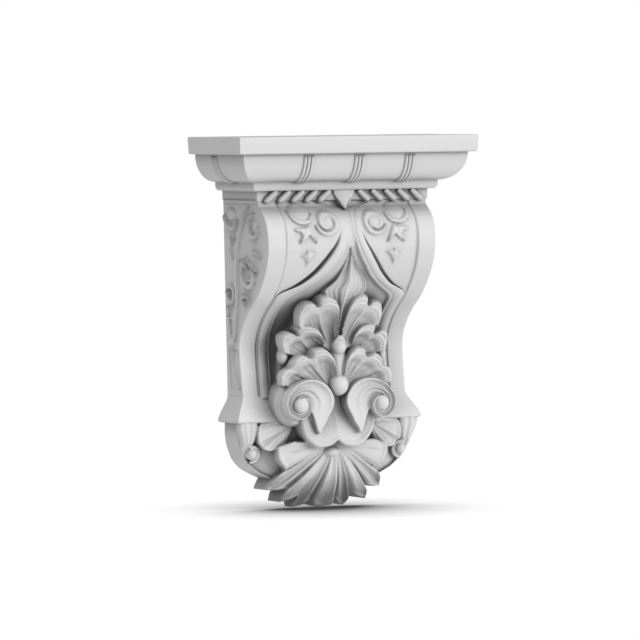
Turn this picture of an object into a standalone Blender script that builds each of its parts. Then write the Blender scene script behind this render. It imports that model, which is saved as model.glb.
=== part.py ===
"""A cast corbel: moulded cornice, scrolled body with a spray of leaves, belt, bowl and hanging leaf.

Metres, +Z up, front towards -Y. The origin is on the flat back, at mid-height.
The carving is drawn on a sheet as wide and as tall as the body, and follows the body when it changes.
"""

from math import cos, pi, radians, sin

import bmesh
import bpy
from mathutils import Matrix, Vector

# Cornice
SLAB_WIDTH = 0.250
SLAB_HEIGHT = 0.016
SLAB_EDGE = 0.0015
OVOLO_PROJECTION = 0.0205
OVOLO_HEIGHT = 0.026
FILLET_PROJECTION = 0.0075
FILLET_HEIGHT = 0.008
BAND_PROJECTION = 0.0010
BAND_HEIGHT = 0.010
RIB_WIDTH = 0.0032
RIB_LIFT = 0.0012
RIB_SPACING = 0.053

# Body
BODY_WIDTH = 0.177
BODY_FOOT_WIDTH = 0.172
BODY_HEIGHT = 0.181
HEAD_DEPTH = 0.0695
BULGE_DEPTH = 0.0889
WAIST_DEPTH = 0.0257
FOOT_DEPTH = 0.0313
STRIP_WIDTH = 0.0195
RIM_LIFT = 0.0014
PANEL_SINK = 0.0016
GROOVE_SINK = 0.0032
GROUND_SINK = 0.0060

# Belt, bowl and hanging leaf
BELT_HEIGHT = 0.025
BELT_PROJECTION = 0.0105
BOWL_HEIGHT = 0.062
BOWL_SIDE_DEPTH = 0.028
BOWL_BELLY_DEPTH = 0.043
LEAF_DROP = 0.020
LEAF_ROOT_DEPTH = 0.048
LEAF_TIP_DEPTH = 0.017
LEAF_FOLD = 0.0075
BIB_DEPTH = 0.0575

# Spray and scrolls
SPRAY_DEPTH = 0.057
SPRAY_FALL = 0.009
LIP_FALL = 0.0045
SCROLL_DEPTH = 0.0615
SCROLL_TURN_HEIGHT = 0.010
STRAND_LIFT = 0.0042
TONGUE_LIFT = 0.0055
CURL_RADIUS = 0.0062
BUD_RADIUS = 0.0085
BALL_RADIUS = 0.0105
EYE_RADIUS = 0.0080
SIDE_RELIEF = 0.0028
PANEL_RELIEF = 0.0017

# How far one form is sunk into the next, and how far backs run past the wall before they are sawn off
SINK = 0.004
SAW = 0.010
SEAM = 0.00005

# How large each stretch is drawn, in sheet millimetres: the carving keeps to these when a size changes
DRAWN = {
    "width": 177.0, "depth": 88.9, "cornice": 60.0, "body": 181.0, "belt": 25.0, "bowl": 62.0, "drop": 20.0,
}
BODY_START = DRAWN["cornice"]
BODY_END = DRAWN["cornice"] + DRAWN["body"]

CORNICE_HEIGHT = SLAB_HEIGHT + OVOLO_HEIGHT + FILLET_HEIGHT + BAND_HEIGHT
HEIGHT = CORNICE_HEIGHT + BODY_HEIGHT + BELT_HEIGHT + BOWL_HEIGHT + LEAF_DROP
TOP = HEIGHT / 2
BODY_TOP = TOP - CORNICE_HEIGHT
BODY_FOOT = BODY_TOP - BODY_HEIGHT
BELT_FOOT = BODY_FOOT - BELT_HEIGHT
BOWL_FOOT = BELT_FOOT - BOWL_HEIGHT
STRETCHES = (
    ("cornice", CORNICE_HEIGHT), ("body", BODY_HEIGHT), ("belt", BELT_HEIGHT), ("bowl", BOWL_HEIGHT),
    ("drop", LEAF_DROP),
)


def curve_through(points):
    """A smooth curve y(x) through points of rising x, with no overshoot between them."""
    xs = [point[0] for point in points]
    ys = [point[1] for point in points]
    steps = [(ys[i + 1] - ys[i]) / (xs[i + 1] - xs[i]) for i in range(len(xs) - 1)]
    slopes = [steps[0]]
    for before, after in zip(steps, steps[1:]):
        same_way = before * after > 0
        slopes.append(2 * before * after / (before + after) if same_way else 0.0)
    slopes.append(steps[-1])

    def value(x):
        if x <= xs[0]:
            return ys[0]
        if x >= xs[-1]:
            return ys[-1]
        i = max(k for k in range(len(xs) - 1) if xs[k] <= x)
        span = xs[i + 1] - xs[i]
        t = (x - xs[i]) / span
        rise = (1 + 2 * t) * (1 - t) ** 2 * ys[i] + t * t * (3 - 2 * t) * ys[i + 1]
        return rise + span * (t * (1 - t) ** 2 * slopes[i] - t * t * (1 - t) * slopes[i + 1])

    return value


def path_through(points, count):
    """Evenly numbered points on a smooth path through the given ones, of any dimension."""
    last = len(points) - 1
    axes = []
    for k in range(len(points[0])):
        axes.append(curve_through([(i, point[k]) for i, point in enumerate(points)]))
    return [tuple(axis(last * step / (count - 1)) for axis in axes) for step in range(count)]


def across(x):
    """A distance drawn across the sheet, in metres."""
    return x * BODY_WIDTH / DRAWN["width"]


def out(depth):
    """A distance drawn out of the wall, in metres."""
    return depth * BULGE_DEPTH / DRAWN["depth"]


def level(h):
    """The height of a point drawn h millimetres below the slab's top."""
    z = TOP
    for stretch, height in STRETCHES:
        if h <= DRAWN[stretch] or stretch == "drop":
            return z - height * h / DRAWN[stretch]
        h -= DRAWN[stretch]
        z -= height


# Levels of the bulge and of the waist on the sheet, and how much of the swell is there between them
BULGE_LEVEL = 101.5
WAIST_LEVEL = 196.4
upper_share = curve_through(
    [
        (60, 0.0), (64.1, 0.03), (71.4, 0.484), (78.1, 0.761), (84.8, 0.910), (94.8, 0.990),
        (BULGE_LEVEL, 1.0),
    ]
)
lower_share = curve_through(
    [
        (BULGE_LEVEL, 1.0), (111.7, 0.972), (121.9, 0.911), (132.1, 0.816), (142.5, 0.685), (150.4, 0.566),
        (162.0, 0.329), (173.5, 0.153), (185.0, 0.040), (WAIST_LEVEL, 0.0),
    ]
)


def body_depth(h):
    """How far the body's front stands out of the wall, h millimetres down the sheet."""
    if h < BULGE_LEVEL:
        return HEAD_DEPTH + (BULGE_DEPTH - HEAD_DEPTH) * upper_share(h)
    if h < WAIST_LEVEL:
        return WAIST_DEPTH + (BULGE_DEPTH - WAIST_DEPTH) * lower_share(h)
    foot_share = min(1.0, (h - WAIST_LEVEL) / (BODY_END - WAIST_LEVEL))
    return WAIST_DEPTH + (FOOT_DEPTH - WAIST_DEPTH) * foot_share ** 1.5


def body_half(h):
    """Half the body's width, h millimetres down the sheet."""
    share = min(1.0, max(0.0, (h - BODY_START) / DRAWN["body"]))
    return (BODY_WIDTH + (BODY_FOOT_WIDTH - BODY_WIDTH) * share) / 2


spray_axis = curve_through([(97, BULGE_DEPTH), (150, out(70.5)), (190, SPRAY_DEPTH), (260, SPRAY_DEPTH)])
SPRAY_HALF_WIDTH = 56


def spray_depth(x, h):
    """The surface that the spray of leaves is carved on, for sheet millimetres x and h."""
    return spray_axis(h) - SPRAY_FALL * (x / SPRAY_HALF_WIDTH) ** 2


def grid_mesh(columns, rows, place):
    """An open grid whose point at column i and row j stands at place(i, j)."""
    bm = bmesh.new()
    bmesh.ops.create_grid(bm, x_segments=columns, y_segments=rows, size=0.5)
    for vert in bm.verts:
        i = round((vert.co.x + 0.5) * columns)
        j = round((vert.co.y + 0.5) * rows)
        vert.co = Vector(place(i, j))
    bmesh.ops.remove_doubles(bm, verts=bm.verts, dist=1e-6)
    bmesh.ops.dissolve_degenerate(bm, edges=bm.edges, dist=1e-6)
    return bm


def open_edges(bm):
    """The edges on the mesh's border."""
    return [edge for edge in bm.edges if edge.is_boundary]


def stack(rings):
    """A closed body through rings of equally many points, with a flat face at each end."""
    around = len(rings[0])
    bm = grid_mesh(around, len(rings) - 1, lambda i, j: rings[j][i % around])
    bmesh.ops.holes_fill(bm, edges=open_edges(bm), sides=0)
    return bm


def patch(columns, rows, place, back):
    """A carved face whose border runs straight back to a flat back. place gives x, depth and z."""
    bm = grid_mesh(columns, rows, lambda i, j: face_point(*place(i, j)))
    walls = bmesh.ops.extrude_edge_only(bm, edges=open_edges(bm))["geom"]
    for item in walls:
        if isinstance(item, bmesh.types.BMVert):
            item.co.y = -back
    bmesh.ops.remove_doubles(bm, verts=bm.verts, dist=1e-6)
    bmesh.ops.holes_fill(bm, edges=open_edges(bm), sides=0)
    return bm


def face_point(x, depth, z):
    """The place at x and height z that stands depth out of the wall."""
    return Vector((x, -depth, z))


def ball(centre, radii, around=8):
    """A faceted knob, turned a little so that none of its corners lies on the middle plane."""
    bm = bmesh.new()
    bmesh.ops.create_uvsphere(bm, u_segments=around, v_segments=around // 2 + 1, radius=1.0)
    bmesh.ops.rotate(bm, verts=bm.verts, cent=(0, 0, 0), matrix=Matrix.Rotation(0.3, 3, "Z"))
    for vert in bm.verts:
        vert.co = Vector(centre) + Vector(a * b for a, b in zip(vert.co, radii))
    return bm


def mirrored(bm):
    """The same form on the other side of the middle plane."""
    other = bm.copy()
    for vert in other.verts:
        vert.co.x = -vert.co.x
    return other


def solid(bm, name):
    """An outward-facing mesh object made from a closed bmesh."""
    bmesh.ops.recalc_face_normals(bm, faces=bm.faces)
    if bm.calc_volume(signed=True) < 0:
        bmesh.ops.reverse_faces(bm, faces=bm.faces)
    mesh = bpy.data.meshes.new(name)
    bm.to_mesh(mesh)
    bm.free()
    return bpy.data.objects.new(name, mesh)


def cornice():
    """Slab, ovolo, fillet and band, mitred round three sides."""
    half = BODY_WIDTH / 2
    ovolo_foot = BAND_PROJECTION + FILLET_PROJECTION
    slab = SLAB_WIDTH / 2 - half
    steps = [(slab - SLAB_EDGE, 0.0), (slab, SLAB_EDGE), (slab - 0.0008, SLAB_HEIGHT - SLAB_EDGE)]
    steps.append((slab - 0.0008 - SLAB_EDGE, SLAB_HEIGHT))
    for step in range(7):
        turn = radians(90) * step / 6
        projection = ovolo_foot + OVOLO_PROJECTION * cos(turn)
        steps.append((projection, SLAB_HEIGHT + 0.0005 + (OVOLO_HEIGHT - 0.0005) * sin(turn)))
    fillet_top = SLAB_HEIGHT + OVOLO_HEIGHT
    steps.append((ovolo_foot + 0.0006, fillet_top + FILLET_HEIGHT * 0.35))
    steps.append((ovolo_foot + 0.0003, fillet_top + FILLET_HEIGHT * 0.85))
    steps.append((ovolo_foot - 0.0012, fillet_top + FILLET_HEIGHT))
    band_top = fillet_top + FILLET_HEIGHT
    steps.append((BAND_PROJECTION, band_top + 0.0004))
    steps.append((BAND_PROJECTION, band_top + BAND_HEIGHT))
    rings = []
    for projection, drop in steps:
        x, depth, z = half + projection, HEAD_DEPTH + projection, TOP - drop
        rings.append([(-x, SAW, z), (-x, -depth, z), (x, -depth, z), (x, SAW, z)])
    return stack(rings)


def ribs():
    """Raised triple ribs that bind the ovolo, three sets on the front and one on each side."""
    ovolo_foot = BAND_PROJECTION + FILLET_PROJECTION
    section = [(-1.7, -SINK), (-1.3, RIB_LIFT), (-0.6, -RIB_LIFT / 3), (0.0, RIB_LIFT)]
    section += [(0.6, -RIB_LIFT / 3), (1.3, RIB_LIFT), (1.7, -SINK)]

    def rib(centre, on_front):
        rings = []
        for step in range(4):
            turn = radians(6 + 26 * step)
            out = ovolo_foot + OVOLO_PROJECTION * cos(turn)
            drop = SLAB_HEIGHT + 0.0005 + (OVOLO_HEIGHT - 0.0005) * sin(turn)
            ring = []
            for side, lift in section:
                reach = out + lift * cos(turn)
                z = TOP - drop - lift * sin(turn)
                along = centre + side * RIB_WIDTH
                if on_front:
                    ring.append((along, -HEAD_DEPTH - reach, z))
                else:
                    ring.append((BODY_WIDTH / 2 + reach, -along, z))
            rings.append(ring)
        return stack(rings)

    parts = [rib(middle + RIB_WIDTH, True) for middle in (-RIB_SPACING, 0.0, RIB_SPACING)]
    side = rib(HEAD_DEPTH * 0.55, False)
    return parts + [mirrored(side), side]


rim_outside = curve_through(
    [
        (58, 33), (62, 23), (67.4, 9), (75.8, 4.5), (87.1, 3.2), (98.4, 4.6), (107, 7.5), (113.9, 11.5),
        (121.5, 17.5), (129.3, 24.0), (140.5, 38.0), (148.5, 51.5), (153, 54.5), (165, 55.0), (241, 55.0),
    ]
)
rim_inside = curve_through(
    [
        (58, 46), (62, 35), (66, 24), (72, 14.0), (80, 11.5), (88, 11.2), (95.4, 13.0), (109.4, 20.8),
        (118, 27.0), (126, 33.5), (137.2, 47.0), (141.5, 56.5), (144.5, 64.0), (148, 67.6), (160, 67.9),
        (241, 67.9),
    ]
)


def body():
    """The body: outer strips, two volute lobes with rims, sunk panels, inner strips and the sunk ground."""
    strip = (BODY_WIDTH / 2 - STRIP_WIDTH) / across(1)

    def stations(h):
        outside, inside = rim_outside(h), rim_inside(h)
        inside = min(inside, strip - 0.9)
        width = inside - outside
        edge = body_half(h) / across(1)
        panel = strip - inside
        sink = PANEL_SINK * min(1.0, panel / 6)
        return [
            (outside * 0.5, -GROUND_SINK),
            (outside - 0.9, -GROUND_SINK),
            (outside, -RIM_LIFT),
            (outside + width * 0.22, RIM_LIFT * 0.6),
            (outside + width * 0.5, RIM_LIFT),
            (outside + width * 0.80, RIM_LIFT * 0.4),
            (inside, -GROOVE_SINK * 0.3 - sink * 0.4),
            (inside + panel * 0.12, -GROOVE_SINK * 0.5 - sink * 0.6),
            (inside + panel * 0.26, -sink),
            (inside + panel * 0.86, -sink),
            (strip, -GROOVE_SINK * 0.7),
            (strip + 1.0, 0.0),
            (edge - 1.6, 0.0),
            (edge, -0.0012),
        ]

    overlap = 2
    levels = path_through([(BODY_START - overlap,), (BODY_END + overlap,)], 21)
    half_count = len(stations(100.0))

    def place(i, j):
        h = levels[j][0]
        side = stations(h)
        if i == half_count:
            x, lift = 0.0, -GROUND_SINK
        elif i < half_count:
            x, lift = side[half_count - 1 - i]
            x = -x
        else:
            x, lift = side[i - half_count - 1]
        return across(x), body_depth(h) + lift, level(h)

    return patch(half_count * 2, len(levels) - 1, place, -SAW)


def belt():
    """The flared belt round three sides of the body's foot."""
    half = BODY_FOOT_WIDTH / 2
    steps = [(-0.10, -0.001), (0.02, 0.0), (0.17, 0.17), (0.43, 0.38), (0.71, 0.56), (0.92, 0.74)]
    steps += [(1.0, 0.87), (0.97, 0.94), (0.84, 0.985), (0.65, 1.0)]
    rings = []
    for flare, share in steps:
        projection = flare * BELT_PROJECTION
        x, depth, z = half + projection, FOOT_DEPTH + projection, BODY_FOOT - share * BELT_HEIGHT
        rings.append([(-x, SAW, z), (-x, -depth, z), (x, -depth, z), (x, SAW, z)])
    return stack(rings)


bowl_half = curve_through(
    [
        (262, 89), (274, 89.5), (284, 88.6), (292.7, 86), (300, 82.9), (305.7, 78.5), (310.5, 72.7),
        (314.1, 66.1), (317.6, 58.7), (324, 42), (328, 20),
    ]
)


def bowl():
    """The rounded bowl under the belt, bulging forward to its middle."""
    levels = [262, 272, 283, 294, 303, 310, 315, 319, 328]
    columns = 9

    def place(i, j):
        h = levels[j]
        share = 2 * i / columns - 1
        x = bowl_half(h) * share
        top_share = max(0.0, 1 - ((h - 262) / 70) ** 2)
        belly = BOWL_BELLY_DEPTH * (0.55 + 0.45 * top_share)
        depth = BOWL_SIDE_DEPTH + (belly - BOWL_SIDE_DEPTH) * (1 - share * share)
        return across(x), depth, level(h)

    return patch(columns, len(levels) - 1, place, -SAW)


def fan(root, rim, lift, dish, back, drop, columns):
    """A shell leaf: a dished fan from its root to a scalloped rim, whose outside falls back from the rim.

    rim holds the rim's points in order, each with a scallop's crown (1) or notch (0).
    """
    line = path_through(rim, columns + 1)
    shares = [0.0, 0.28, 0.58, 0.84, 0.96, 1.05]
    roll_reach, least_reach = 3.2, 8.0

    def place(i, j):
        x, h, crown = line[i]
        share = shares[j]
        if j == len(shares) - 1:
            reach = ((x - root[0]) ** 2 + (h - root[1]) ** 2) ** 0.5
            share = 1.0 + roll_reach / max(least_reach, reach)
        px = root[0] + (x - root[0]) * share
        ph = root[1] + (h - root[1]) * share
        ground = spray_depth(px, ph) + drop
        if j == 0:
            return across(px), ground, level(ph)
        hollow = -dish * sin(pi * min(1.0, share / 0.9)) * (0.5 + 0.5 * crown)
        rise = lift * max(0.0, min(1.0, (share - 0.3) / 0.6)) ** 1.5 * (0.70 + 0.30 * crown)
        fall = LIP_FALL if j == len(shares) - 1 else 0.0
        return across(px), ground + hollow + rise - fall, level(ph)

    return patch(columns, len(shares) - 1, place, back)


UPPER_RIM = [
    (-2.1, 177, 0.4), (-4.3, 166.5, 0.7), (-10, 158, 0.8), (-17, 154.0, 1), (-23, 155, 0.9),
    (-28.5, 158.0, 0), (-34, 155, 0.9), (-41, 157.5, 1), (-44.5, 164, 0.7), (-44, 172, 0.3),
]
MIDDLE_RIM = [
    (-15.5, 191, 0.4), (-20, 185, 0.7), (-26, 180.5, 1), (-33, 179.0, 1), (-39.5, 182.5, 0),
    (-46, 181, 1), (-53, 184.5, 1), (-57, 191.5, 0.8), (-52, 198, 0.3),
]
LOWER_RIM = [
    (-5, 216, 0.4), (-8.5, 208, 0.7), (-15, 202.0, 1), (-23.5, 200.0, 1), (-30.5, 205, 0), (-38, 204, 1),
    (-46, 208.5, 1), (-50, 215, 0.2), (-55, 218, 0.9), (-57.5, 225, 0.5),
]


def sprays():
    """The spray's three shell leaves on each side."""
    leaves = [
        fan((-3.0, 193), UPPER_RIM, out(4.5), out(5.0), out(30), 0.0, 14),
        fan((-10, 207), MIDDLE_RIM, out(3.5), out(4.0), out(18.5), out(-3), 13),
        fan((-4.0, 229), LOWER_RIM, out(5.0), out(3.5), out(19), out(1), 14),
    ]
    return both_sides(leaves)


def middle_leaf():
    """The pointed leaf that rises between the volutes, with a fold down its middle."""
    edges = [
        (-3.4, 196, 3.4, 196), (-6.2, 176, 6.6, 176), (-13, 158, 9, 158), (-23, 145, 22, 146),
        (-18, 138, 23, 140), (-9, 130, 17, 131), (-3.5, 117, 6, 118), (-0.5, 104, 1.2, 104),
    ]
    rows = path_through(edges, 10)
    columns = 6

    def place(i, j):
        left, left_h, right, right_h = rows[j]
        share = i / columns
        x = left + (right - left) * share
        h = left_h + (right_h - left_h) * share
        away = abs(2 * share - 1)
        fold = out(3.5) * (1 - away) - out(2.0) * sin(pi * away)
        return across(x), spray_depth(x, h) + fold, level(h)

    return patch(columns, len(rows) - 1, place, out(30))


def spray_bed():
    """The mass that carries the spray's leaves."""
    half = curve_through([(128, 8), (150, 26), (170, 36), (190, 45), (215, 49), (262, 52)])
    levels = [128, 145, 165, 190, 215, 240, 261]
    columns = 7

    def place(i, j):
        h = levels[j]
        share = 2 * i / columns - 1
        x = half(h) * share
        return across(x), spray_depth(x, h) - out(7 + 8 * share * share), level(h)

    return patch(columns, len(levels) - 1, place, out(10))


def buds():
    """The bud above the lower leaves and the ball between the scrolls."""
    knobs = []
    for h, radius, sunk in ((195, BUD_RADIUS, out(2)), (230, BALL_RADIUS, out(1))):
        centre = (0, -(SPRAY_DEPTH - sunk), level(h))
        knobs.append(ball(centre, (radius * 0.95, radius, radius * 1.14)))
    return knobs


EYE = (-42.6, 249.5)
turn_radius = curve_through(
    [
        (-54, 35), (-40, 32), (-23, 32), (8, 36.5), (27, 34.5), (45, 31), (68, 25.5), (100, 19.5), (140, 16),
        (180, 14.8), (225, 13.8), (270, 13.0), (322, 11.5), (400, 8.5), (460, 6.5),
    ]
)


def scroll_point(angle, radius):
    """A sheet point beside the left scroll's eye."""
    return EYE[0] + radius * cos(radians(angle)), EYE[1] - radius * sin(radians(angle))


def scroll_section(angle, raised):
    """The band's cross-section at an angle round the eye, from its inner foot to its outer foot."""
    outer = turn_radius(angle)
    inner = max(1.5, min(outer - 2.5, turn_radius(angle + 360) * 0.96))
    width = outer - inner
    crest = SCROLL_DEPTH + out(1 + 5 * max(0.0, angle) / 440 + raised)
    deep = crest - SCROLL_TURN_HEIGHT
    lip = min(1.0, (angle + 66) / 80)
    section = [
        (inner, deep),
        (inner + 0.1 * width, crest - out(3.5) * lip),
        (inner + 0.45 * width, crest - out(2) * lip),
        (inner + 0.8 * width, crest + out(0.8) * lip),
        (outer, crest - out(1.2)),
        (outer + 0.6 + raised, deep),
    ]
    ring = []
    for radius, depth in section:
        x, h = scroll_point(angle, radius)
        ring.append((across(x), -depth, level(h)))
    return ring


def scroll():
    """A scroll: its mound, the band that winds in to the eye, and the eye."""
    parts = []
    outline = [
        (-8, 252), (-5.5, 243), (-8, 234), (-16, 227), (-27, 222.5), (-40, 223.5), (-52, 229), (-59, 238),
        (-61, 248), (-59, 258), (-53, 266), (-44, 270), (-34, 270), (-27, 272), (-21, 276), (-15, 266),
        (-8, 252),
    ]
    border = path_through(outline, 19)
    centre = (-33, 248)

    def mound(i, j):
        x, h = border[i]
        share = (0.0, 0.5, 0.85, 1.0)[j]
        depth = SCROLL_DEPTH - out((4, 5, 9, 16)[j])
        px, ph = centre[0] + (x - centre[0]) * share, centre[1] + (h - centre[1]) * share
        return across(px), depth, level(ph)

    parts.append(patch(18, 3, mound, out(10.5)))

    for start, end, steps in ((-50, 292, 15), (262, 440, 8)):
        raised = 0.4 if start > 0 else 0.0
        turn = (end - start) / (steps - 1)
        parts.append(stack([scroll_section(start + turn * step, raised) for step in range(steps)]))
    centre = (across(EYE[0]), -SCROLL_DEPTH - out(1), level(EYE[1]))
    parts.append(ball(centre, (EYE_RADIUS, EYE_RADIUS * 0.95, EYE_RADIUS)))
    return parts


def bib():
    """The two-scalloped bib under the scrolls."""
    half = [(-39, 262), (-37, 270), (-33, 279), (-27, 286), (-18.5, 290), (-8, 288.5), (0, 283.5)]
    rim = path_through(half + [(-x, h) for x, h in reversed(half[:-1])], 20)
    top = (0, 240)

    def place(i, j):
        x, h = rim[i]
        share = (0.0, 0.4, 0.75, 1.0)[j]
        depth = BIB_DEPTH - out((7.5, 6, 2, 0)[j])
        return across(top[0] + (x - top[0]) * share), depth, level(top[1] + (h - top[1]) * share)

    return patch(19, 3, place, out(15))


def hanging_leaf():
    """The leaf that hangs under the bowl: seven folded lobes from one root, back to the wall."""
    root = (0, 282)
    tips = [
        (-44, 286, 0), (-56, 291, 1), (-52, 303, 0.3), (-51, 311, 0), (-60, 327, 1), (-52, 330, 0.2),
        (-45, 334, 0), (-44, 340, 0.9), (-27, 346.5, 1), (-17, 344, 0), (-10, 347, 0.7), (0, 348, 1),
    ]
    tips += [(-x, h, crown) for x, h, crown in reversed(tips[:-1])]
    rim = path_through(tips, 38)
    steep = LEAF_ROOT_DEPTH - LEAF_TIP_DEPTH
    fall = curve_through([(278, 0.0), (300, 0.065), (315, 0.26), (330, 0.58), (348, 1.0)])
    shares = (0.0, 0.3, 0.6, 0.85, 1.0)

    def place(i, j):
        x, h, crown = rim[i]
        share = shares[j]
        px, ph = root[0] + (x - root[0]) * share, root[1] + (h - root[1]) * share
        fold = LEAF_FOLD * (crown - 0.5) * min(1.0, share * 1.4)
        wide = out(6) * (px / 60) ** 2
        return across(px), LEAF_ROOT_DEPTH - steep * fall(ph) + fold - wide, level(ph)

    return patch(37, len(shares) - 1, place, -SAW)


def drop_bud():
    """The small drop under the bib."""
    return ball((0, -out(43), level(295)), (out(9.5), out(10), out(7)))


def side_leaf():
    """The leaf and curled tip on the bowl's front corner, on the left."""
    tips = [
        (-44, 279, 0.3), (-50, 284, 0.8), (-57, 290, 1), (-63, 291, 0.2), (-68, 288, 0.9), (-72, 281, 1),
        (-74, 272, 0.6), (-68, 264, 0.3),
    ]
    rim = path_through(tips, 14)
    root = (-40, 269)

    def place(i, j):
        x, h, crown = rim[i]
        share = (0.0, 0.35, 0.7, 1.0)[j]
        px, ph = root[0] + (x - root[0]) * share, root[1] + (h - root[1]) * share
        depth = out(42 - 5 * share + 3 * (crown - 0.5) * share)
        return across(px), depth, level(ph)

    parts = [patch(13, 3, place, out(15))]
    arm = path_through([(-72, 264), (-80, 272), (-85.5, 282), (-86.5, 291), (-83, 299), (-77, 301)], 9)
    rings = []
    for k, (x, h) in enumerate(arm):
        ahead = arm[min(k + 1, len(arm) - 1)]
        behind = arm[max(k - 1, 0)]
        way = Vector((ahead[0] - behind[0], ahead[1] - behind[1])).normalized()
        half = 4.2 - 0.16 * k
        ring = []
        for side, depth in ((-1, 18), (-0.8, 31.5), (0, 34), (0.8, 31.5), (1, 18)):
            ring.append((across(x - way.y * half * side), -out(depth), level(h + way.x * half * side)))
        rings.append(ring)
    parts.append(stack(rings))
    parts.append(ball((across(-77.5), -out(30), level(294)), (CURL_RADIUS, CURL_RADIUS * 1.2, CURL_RADIUS)))
    return parts


def rope():
    """The slanted strands on the band's front, mirrored about the hanging tongue."""
    parts = []
    depth = HEAD_DEPTH + BAND_PROJECTION
    first, spacing, lean, count = 25.7, 13.9, 9.5, 5
    # Each section's share of the way up, half-width and lift
    sections = ((0.0, 1.0, 0.0), (0.3, 3.4, STRAND_LIFT), (0.7, 3.4, STRAND_LIFT), (1.0, 1.0, 0.0))
    for step in range(count):
        rings = []
        for share, width, swell in sections:
            corners = ((-1, -SINK), (-0.5, swell), (0.5, swell), (1, -SINK))
            x = first + spacing * step - lean * share
            h = 58.2 - 7.6 * share
            ring = []
            for side, lift in corners:
                ring.append((across(x + width * side), -(depth + lift), level(h + width * side * 0.5)))
            rings.append(ring)
        parts.append(stack(rings))
    return both_sides(parts)


def tongue():
    """The pointed tongue that hangs from the band between the volutes."""
    rows = [(-10.5, 52), (-10, 56), (-6.5, 61.5), (-2.6, 66), (-0.4, 68.5)]

    def place(i, j):
        x, h = rows[j]
        share = i / 4
        bulge = sin(pi * share)
        return across(x * (1 - 2 * share)), HEAD_DEPTH + out(1.5) + TONGUE_LIFT * bulge, level(h)

    return patch(4, len(rows) - 1, place, HEAD_DEPTH - out(12))


def ridge(points, halves, lifts, surface, sink):
    """A raised line along a path. surface(a, b, lift) turns a sheet point and a lift into a place."""
    rings = []
    for k, (a, b) in enumerate(points):
        ahead, behind = points[min(k + 1, len(points) - 1)], points[max(k - 1, 0)]
        way = Vector((ahead[0] - behind[0], ahead[1] - behind[1])).normalized()
        ring = []
        for side in (-1, 0, 1):
            lift = lifts[k] if side == 0 else -sink
            ring.append(surface(a - way.y * halves[k] * side, b + way.x * halves[k] * side, lift))
        rings.append(ring)
    return stack(rings)


def tapered(count, most, least):
    """Values that swell from least to most in the middle of a line and back."""
    return [least + (most - least) * sin(pi * (k + 0.5) / count) ** 0.7 for k in range(count)]


def ridges(lines, relief, surface):
    """One raised line for each path, with its half-width in the middle and at the ends."""
    parts = []
    for number, (points, most, least) in enumerate(lines):
        count = len(points)
        lifts = tapered(count, relief, relief * 0.5)
        sink = relief * (0.6 + 0.04 * number)
        parts.append(ridge(points, tapered(count, most, least), lifts, surface, sink))
    return parts


def on_front(x, h, lift):
    """A place on the volute panel."""
    return across(x), -(body_depth(h) - PANEL_SINK + lift), level(h)


def on_side(d, h, lift):
    """A place on the left side face, d millimetres out of the wall."""
    return -(body_half(h) + lift), -out(d), level(h)


def spiral(centre, start, turns, outer, inner, count):
    """Points that wind in towards a centre, clockwise on the sheet where turns is above zero."""
    points = []
    for k in range(count):
        share = k / (count - 1)
        angle = radians(start) + 2 * pi * turns * share
        radius = outer + (inner - outer) * share
        points.append((centre[0] + radius * cos(angle), centre[1] + radius * sin(angle)))
    return points


def panel_carving():
    """The spiral, cup, three-point leaf and star in the left volute's panel."""
    lines = [
        (spiral((-25, 79.5), 175, -1.25, 11.5, 4.0, 13), 2.2, 0.9),
        (path_through([(-58, 69.5), (-54, 76), (-46, 77.5), (-38, 73)], 6), 2.2, 0.8),
    ]
    leaf, star = (-47, 85), (-44.5, 112)
    points = [(leaf, (-61, 87)), (leaf, (-53.5, 100)), (leaf, (-37, 99))]
    points += [(star, (-54, 108.5)), (star, (-35.5, 108.5)), (star, (-45, 121.5)), (star, (-44.5, 103.5))]
    for start, end in points:
        half = 4.2 if start == leaf else 2.4
        lines.append((path_through([start, end], 4), half, 0.4))
    return ridges(lines, PANEL_RELIEF, on_front)


def side_carving():
    """The stem, scrolls, cup and low frame on the left side face."""
    lines = [
        (path_through([(52, 72), (40, 92), (29, 118), (22, 142), (16, 165), (12, 188)], 10), 3.2, 0.8),
        (spiral((58, 92), -60, -0.95, 11.5, 5.0, 11), 2.6, 0.9),
        (spiral((45, 138), 30, 0.95, 12.5, 5.0, 11), 2.6, 0.9),
        (spiral((12, 152), -150, 1.1, 8.5, 3.5, 11), 2.2, 0.9),
        (path_through([(4, 72), (9, 80), (17, 84), (24, 78)], 6), 2.6, 0.8),
    ]
    frame = [(5, 203), (9, 201), (16, 203), (16.5, 220), (15, 236), (6.5, 236), (5, 203.5)]
    lines.append((path_through(frame, 9), 1.1, 0.9))
    return ridges(lines, SIDE_RELIEF, on_side)


def both_sides(parts):
    """Each form and its mirror image."""
    return [form for part in parts for form in (mirrored(part), part)]


def clear_scene():
    """Removes whatever the scene holds."""
    for item in list(bpy.data.objects):
        bpy.data.objects.remove(item, do_unlink=True)


def plastic():
    """Primed white polyurethane."""
    material = bpy.data.materials.new("primed_polyurethane")
    material.use_nodes = True
    shader = material.node_tree.nodes["Principled BSDF"]
    shader.inputs["Base Color"].default_value = (0.80, 0.80, 0.80, 1)
    shader.inputs["Roughness"].default_value = 0.55
    shader.inputs["Metallic"].default_value = 0.0
    return material


def helper_object(form, name, helpers):
    """A form that the corbel is joined with or cut by, kept out of the render."""
    helper = solid(form, name)
    helpers.objects.link(helper)
    helper.hide_render = True
    helper.display_type = "WIRE"
    return helper


def wall_block():
    """A block behind the wall plane, larger than the corbel."""
    bm = bmesh.new()
    bmesh.ops.create_cube(bm, size=1.0)
    size = 2 * max(SLAB_WIDTH, HEIGHT)
    bmesh.ops.scale(bm, verts=bm.verts, vec=(size, size, size))
    bmesh.ops.translate(bm, verts=bm.verts, vec=(0, size / 2, 0))
    return bm


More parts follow.
